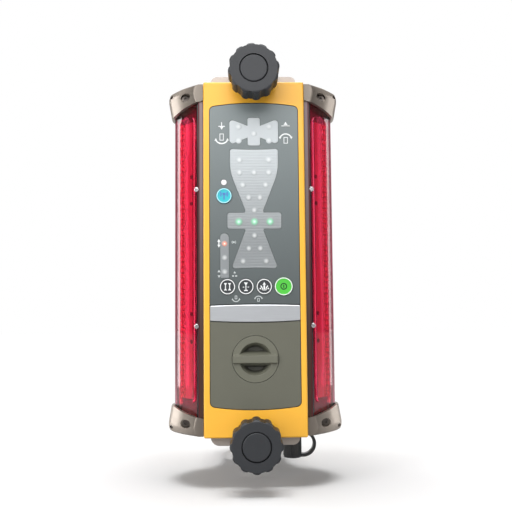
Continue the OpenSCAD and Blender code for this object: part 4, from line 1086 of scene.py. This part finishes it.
class RECEIVER_OT_connector(ReceiverPiece, Operator):
    """Finish the connector, its dust cap and the cap's strap"""

    bl_idname = "receiver.connector"
    bl_label = "Connector and dust cap"

    CONNECTOR_EDGE, STRAP_EDGE = 0.1, 0.5

    def build(self, sizes):
        replace("connector", self.CONNECTOR_EDGE * MM, "connector_metal")
        replace("dust_cap", sizes.trim_edge, "black_rubber", "dust_cap")
        strap = replace("cap_strap", self.STRAP_EDGE * MM, "black_rubber", None)
        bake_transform(strap)


class RECEIVER_OT_stage(ReceiverPiece, Operator):
    """Set the pale floor, the soft light and the camera"""

    bl_idname = "receiver.stage"
    bl_label = "Stage"
    GROUP = "receiver_stage"

    TARGET = (0, -0.1, 0)
    # Place and size of each lamp in metres, and its power in watts
    LAMPS = {
        "key": ((-0.2, -1.15, 0.9), (1.7, 1.2), 22),
        "top": ((0, -0.1, 1.1), (0.8, 0.55), 7.5),
        "floor_top": ((0, -0.1, 1.1), (0.8, 0.55), 9),
        "left_strip": ((-0.748, 0.202, 0.035), (0.203, 0.75), 2.4),
        "right_strip": ((0.738, 0.223, 0.035), (0.202, 0.75), 1.44),
        "left_fill": ((-0.85, -0.85, 0.03), (0.16, 0.75), 5),
        "right_fill": ((0.85, -0.85, 0.03), (0.06, 0.75), 0.9),
    }
    # Strength of the light from all round, and what metal and glass see at the sides and in front
    SKY, SIDES, FRONT = 0.16, 0.12, 0.2
    FLOOR_SIZE, FLOOR_WHITE, FLOOR_MIRRORED = 8, 0.9, 0.4
    # Least white of the floor, and the share of light that it throws back up
    FLOOR_GLOW, BOUNCE = 0.02, 0.5
    # How far out the floor stops taking the shadow and turns plain white, in metres
    FADE_START, FADE_END = 0.22, 0.6

    def build(self, stage):
        self.camera(stage)
        self.world()
        ground = self.floor(stage)
        lamps = {name: self.lamp(name, *settings) for name, settings in self.LAMPS.items()}
        # The floor keeps the shadow, and is pale without more light on the receiver
        self.link(lamps["key"], ground, "EXCLUDE")
        self.link(lamps["floor_top"], ground, "INCLUDE")
        bpy.context.scene.view_settings.view_transform = "Standard"

    def camera(self, stage):
        bpy.ops.object.camera_add()
        made = bpy.context.object
        made.name = "camera"
        made.data.lens = stage.lens
        made.data.sensor_width = 36
        turn = (Matrix.Rotation(-stage.yaw, 4, "Z")
                @ Matrix.Rotation(math.pi / 2 + stage.pitch, 4, "X")
                @ Matrix.Rotation(stage.roll, 4, "Z"))
        place = Vector((stage.side, -MAST_DEPTH * MM - stage.distance, stage.height))
        made.matrix_world = Matrix.Translation(place) @ turn
        bpy.context.scene.camera = made

    def world(self):
        """White to the camera and through glass, and a dim room with a bright end and ceiling."""
        made = bpy.data.worlds.new("studio")
        bpy.context.scene.world = made
        made.use_nodes = True
        sky = Nodes(made.node_tree)
        view = sky.node("ShaderNodeTexCoord", output="Generated")
        ahead, above = sky.part(view, "Y"), sky.part(view, "Z")
        backdrop = sky.ease(ahead, 0.88, 0.98)
        ceiling = sky.ease(above, 0.4, 0.95)
        front = sky.ease(0 - ahead, 0.5, 0.95) * self.FRONT
        room = backdrop.most(ceiling).most(front)
        room = self.SIDES + room * (1 - self.SIDES)
        camera, glossy, through = sky.seen()
        dull = self.SKY + ceiling * self.SKY
        mirrored = glossy * room + (1 - glossy) * dull
        level = camera + (1 - camera) * (through + (1 - through) * mirrored)
        background = made.node_tree.nodes["Background"]
        background.inputs["Color"].default_value = (1, 1, 1, 1)
        made.node_tree.links.new(level.socket, background.inputs["Strength"])

    def floor(self, stage):
        """Pale near the receiver, where it takes the shadow, and plain white further off."""
        made = start(bpy.ops.mesh.primitive_plane_add, "floor", size=self.FLOOR_SIZE,
                     location=(0, 0, stage.floor))
        white = Finish("floor_white", Roughness=0.9, Emission_Strength=1.0)
        spread = white.node("ShaderNodeVectorMath", {"operation": "LENGTH"},
                            {0: white.place((1, 1, 0), move=(0, -self.TARGET[1], 0))}, "Value")
        far = white.ease(spread, self.FADE_START, self.FADE_END)
        camera, glossy, through = white.seen()
        dark, pale = (0, 0, 0, 1), (1, 1, 1, 1)
        lit = camera * self.FLOOR_WHITE * (1 - far) + (1 - camera) * self.BOUNCE
        white.feed("Base Color", white.shades(lit, dark, pale))
        glow = camera * (self.FLOOR_GLOW + far * (1 - self.FLOOR_GLOW))
        glow = glow + glossy.most(through) * far * self.FLOOR_MIRRORED
        white.feed("Emission Color", white.shades(glow, dark, pale))
        made.data.materials.append(white.material)
        return made

    def link(self, lamp, ground, state):
        """Lets a lamp light the floor alone, or everything but the floor."""
        chosen = bpy.data.collections.new(lamp.name + "_lights")
        chosen.objects.link(ground)
        chosen.collection_objects[0].light_linking.link_state = state
        lamp.light_linking.receiver_collection = chosen

    def lamp(self, name, place, size, power):
        bpy.ops.object.light_add(type="AREA", location=place)
        made = bpy.context.object
        made.name = name
        made.data.shape = "RECTANGLE"
        made.data.size, made.data.size_y = size
        made.data.energy = power
        aim = Vector(self.TARGET) - Vector(place)
        made.rotation_euler = aim.to_track_quat("-Z", "Y").to_euler()
        return made


PIECES = (
    RECEIVER_OT_finishes, RECEIVER_OT_inside, RECEIVER_OT_shells, RECEIVER_OT_guards,
    RECEIVER_OT_windows, RECEIVER_OT_panel, RECEIVER_OT_keys, RECEIVER_OT_displays,
    RECEIVER_OT_door, RECEIVER_OT_knobs, RECEIVER_OT_clamps, RECEIVER_OT_connector,
    RECEIVER_OT_stage,
)


class RECEIVER_PT_sidebar(Panel):
    """Lists the receiver's pieces"""

    bl_idname = "RECEIVER_PT_sidebar"
    bl_label = "Laser receiver"
    bl_space_type = "VIEW_3D"
    bl_region_type = "UI"
    bl_category = "Receiver"

    def draw(self, context):
        for piece in PIECES:
            self.layout.operator(piece.bl_idname)


GROUPS = {"receiver_sizes": ReceiverSizes, "receiver_colours": ReceiverColours,
          "receiver_stage": ReceiverStage}
CLASSES = (*GROUPS.values(), *PIECES, RECEIVER_PT_sidebar)


def register():
    for each in CLASSES:
        bpy.utils.register_class(each)
    for name, group in GROUPS.items():
        setattr(bpy.types.Scene, name, PointerProperty(type=group))


def unregister():
    for name in GROUPS:
        delattr(bpy.types.Scene, name)
    for each in reversed(CLASSES):
        bpy.utils.unregister_class(each)


def main():
    register()
    for piece in PIECES:
        area, name = piece.bl_idname.split(".")
        getattr(getattr(bpy.ops, area), name)()


if __name__ == "__main__":
    main()
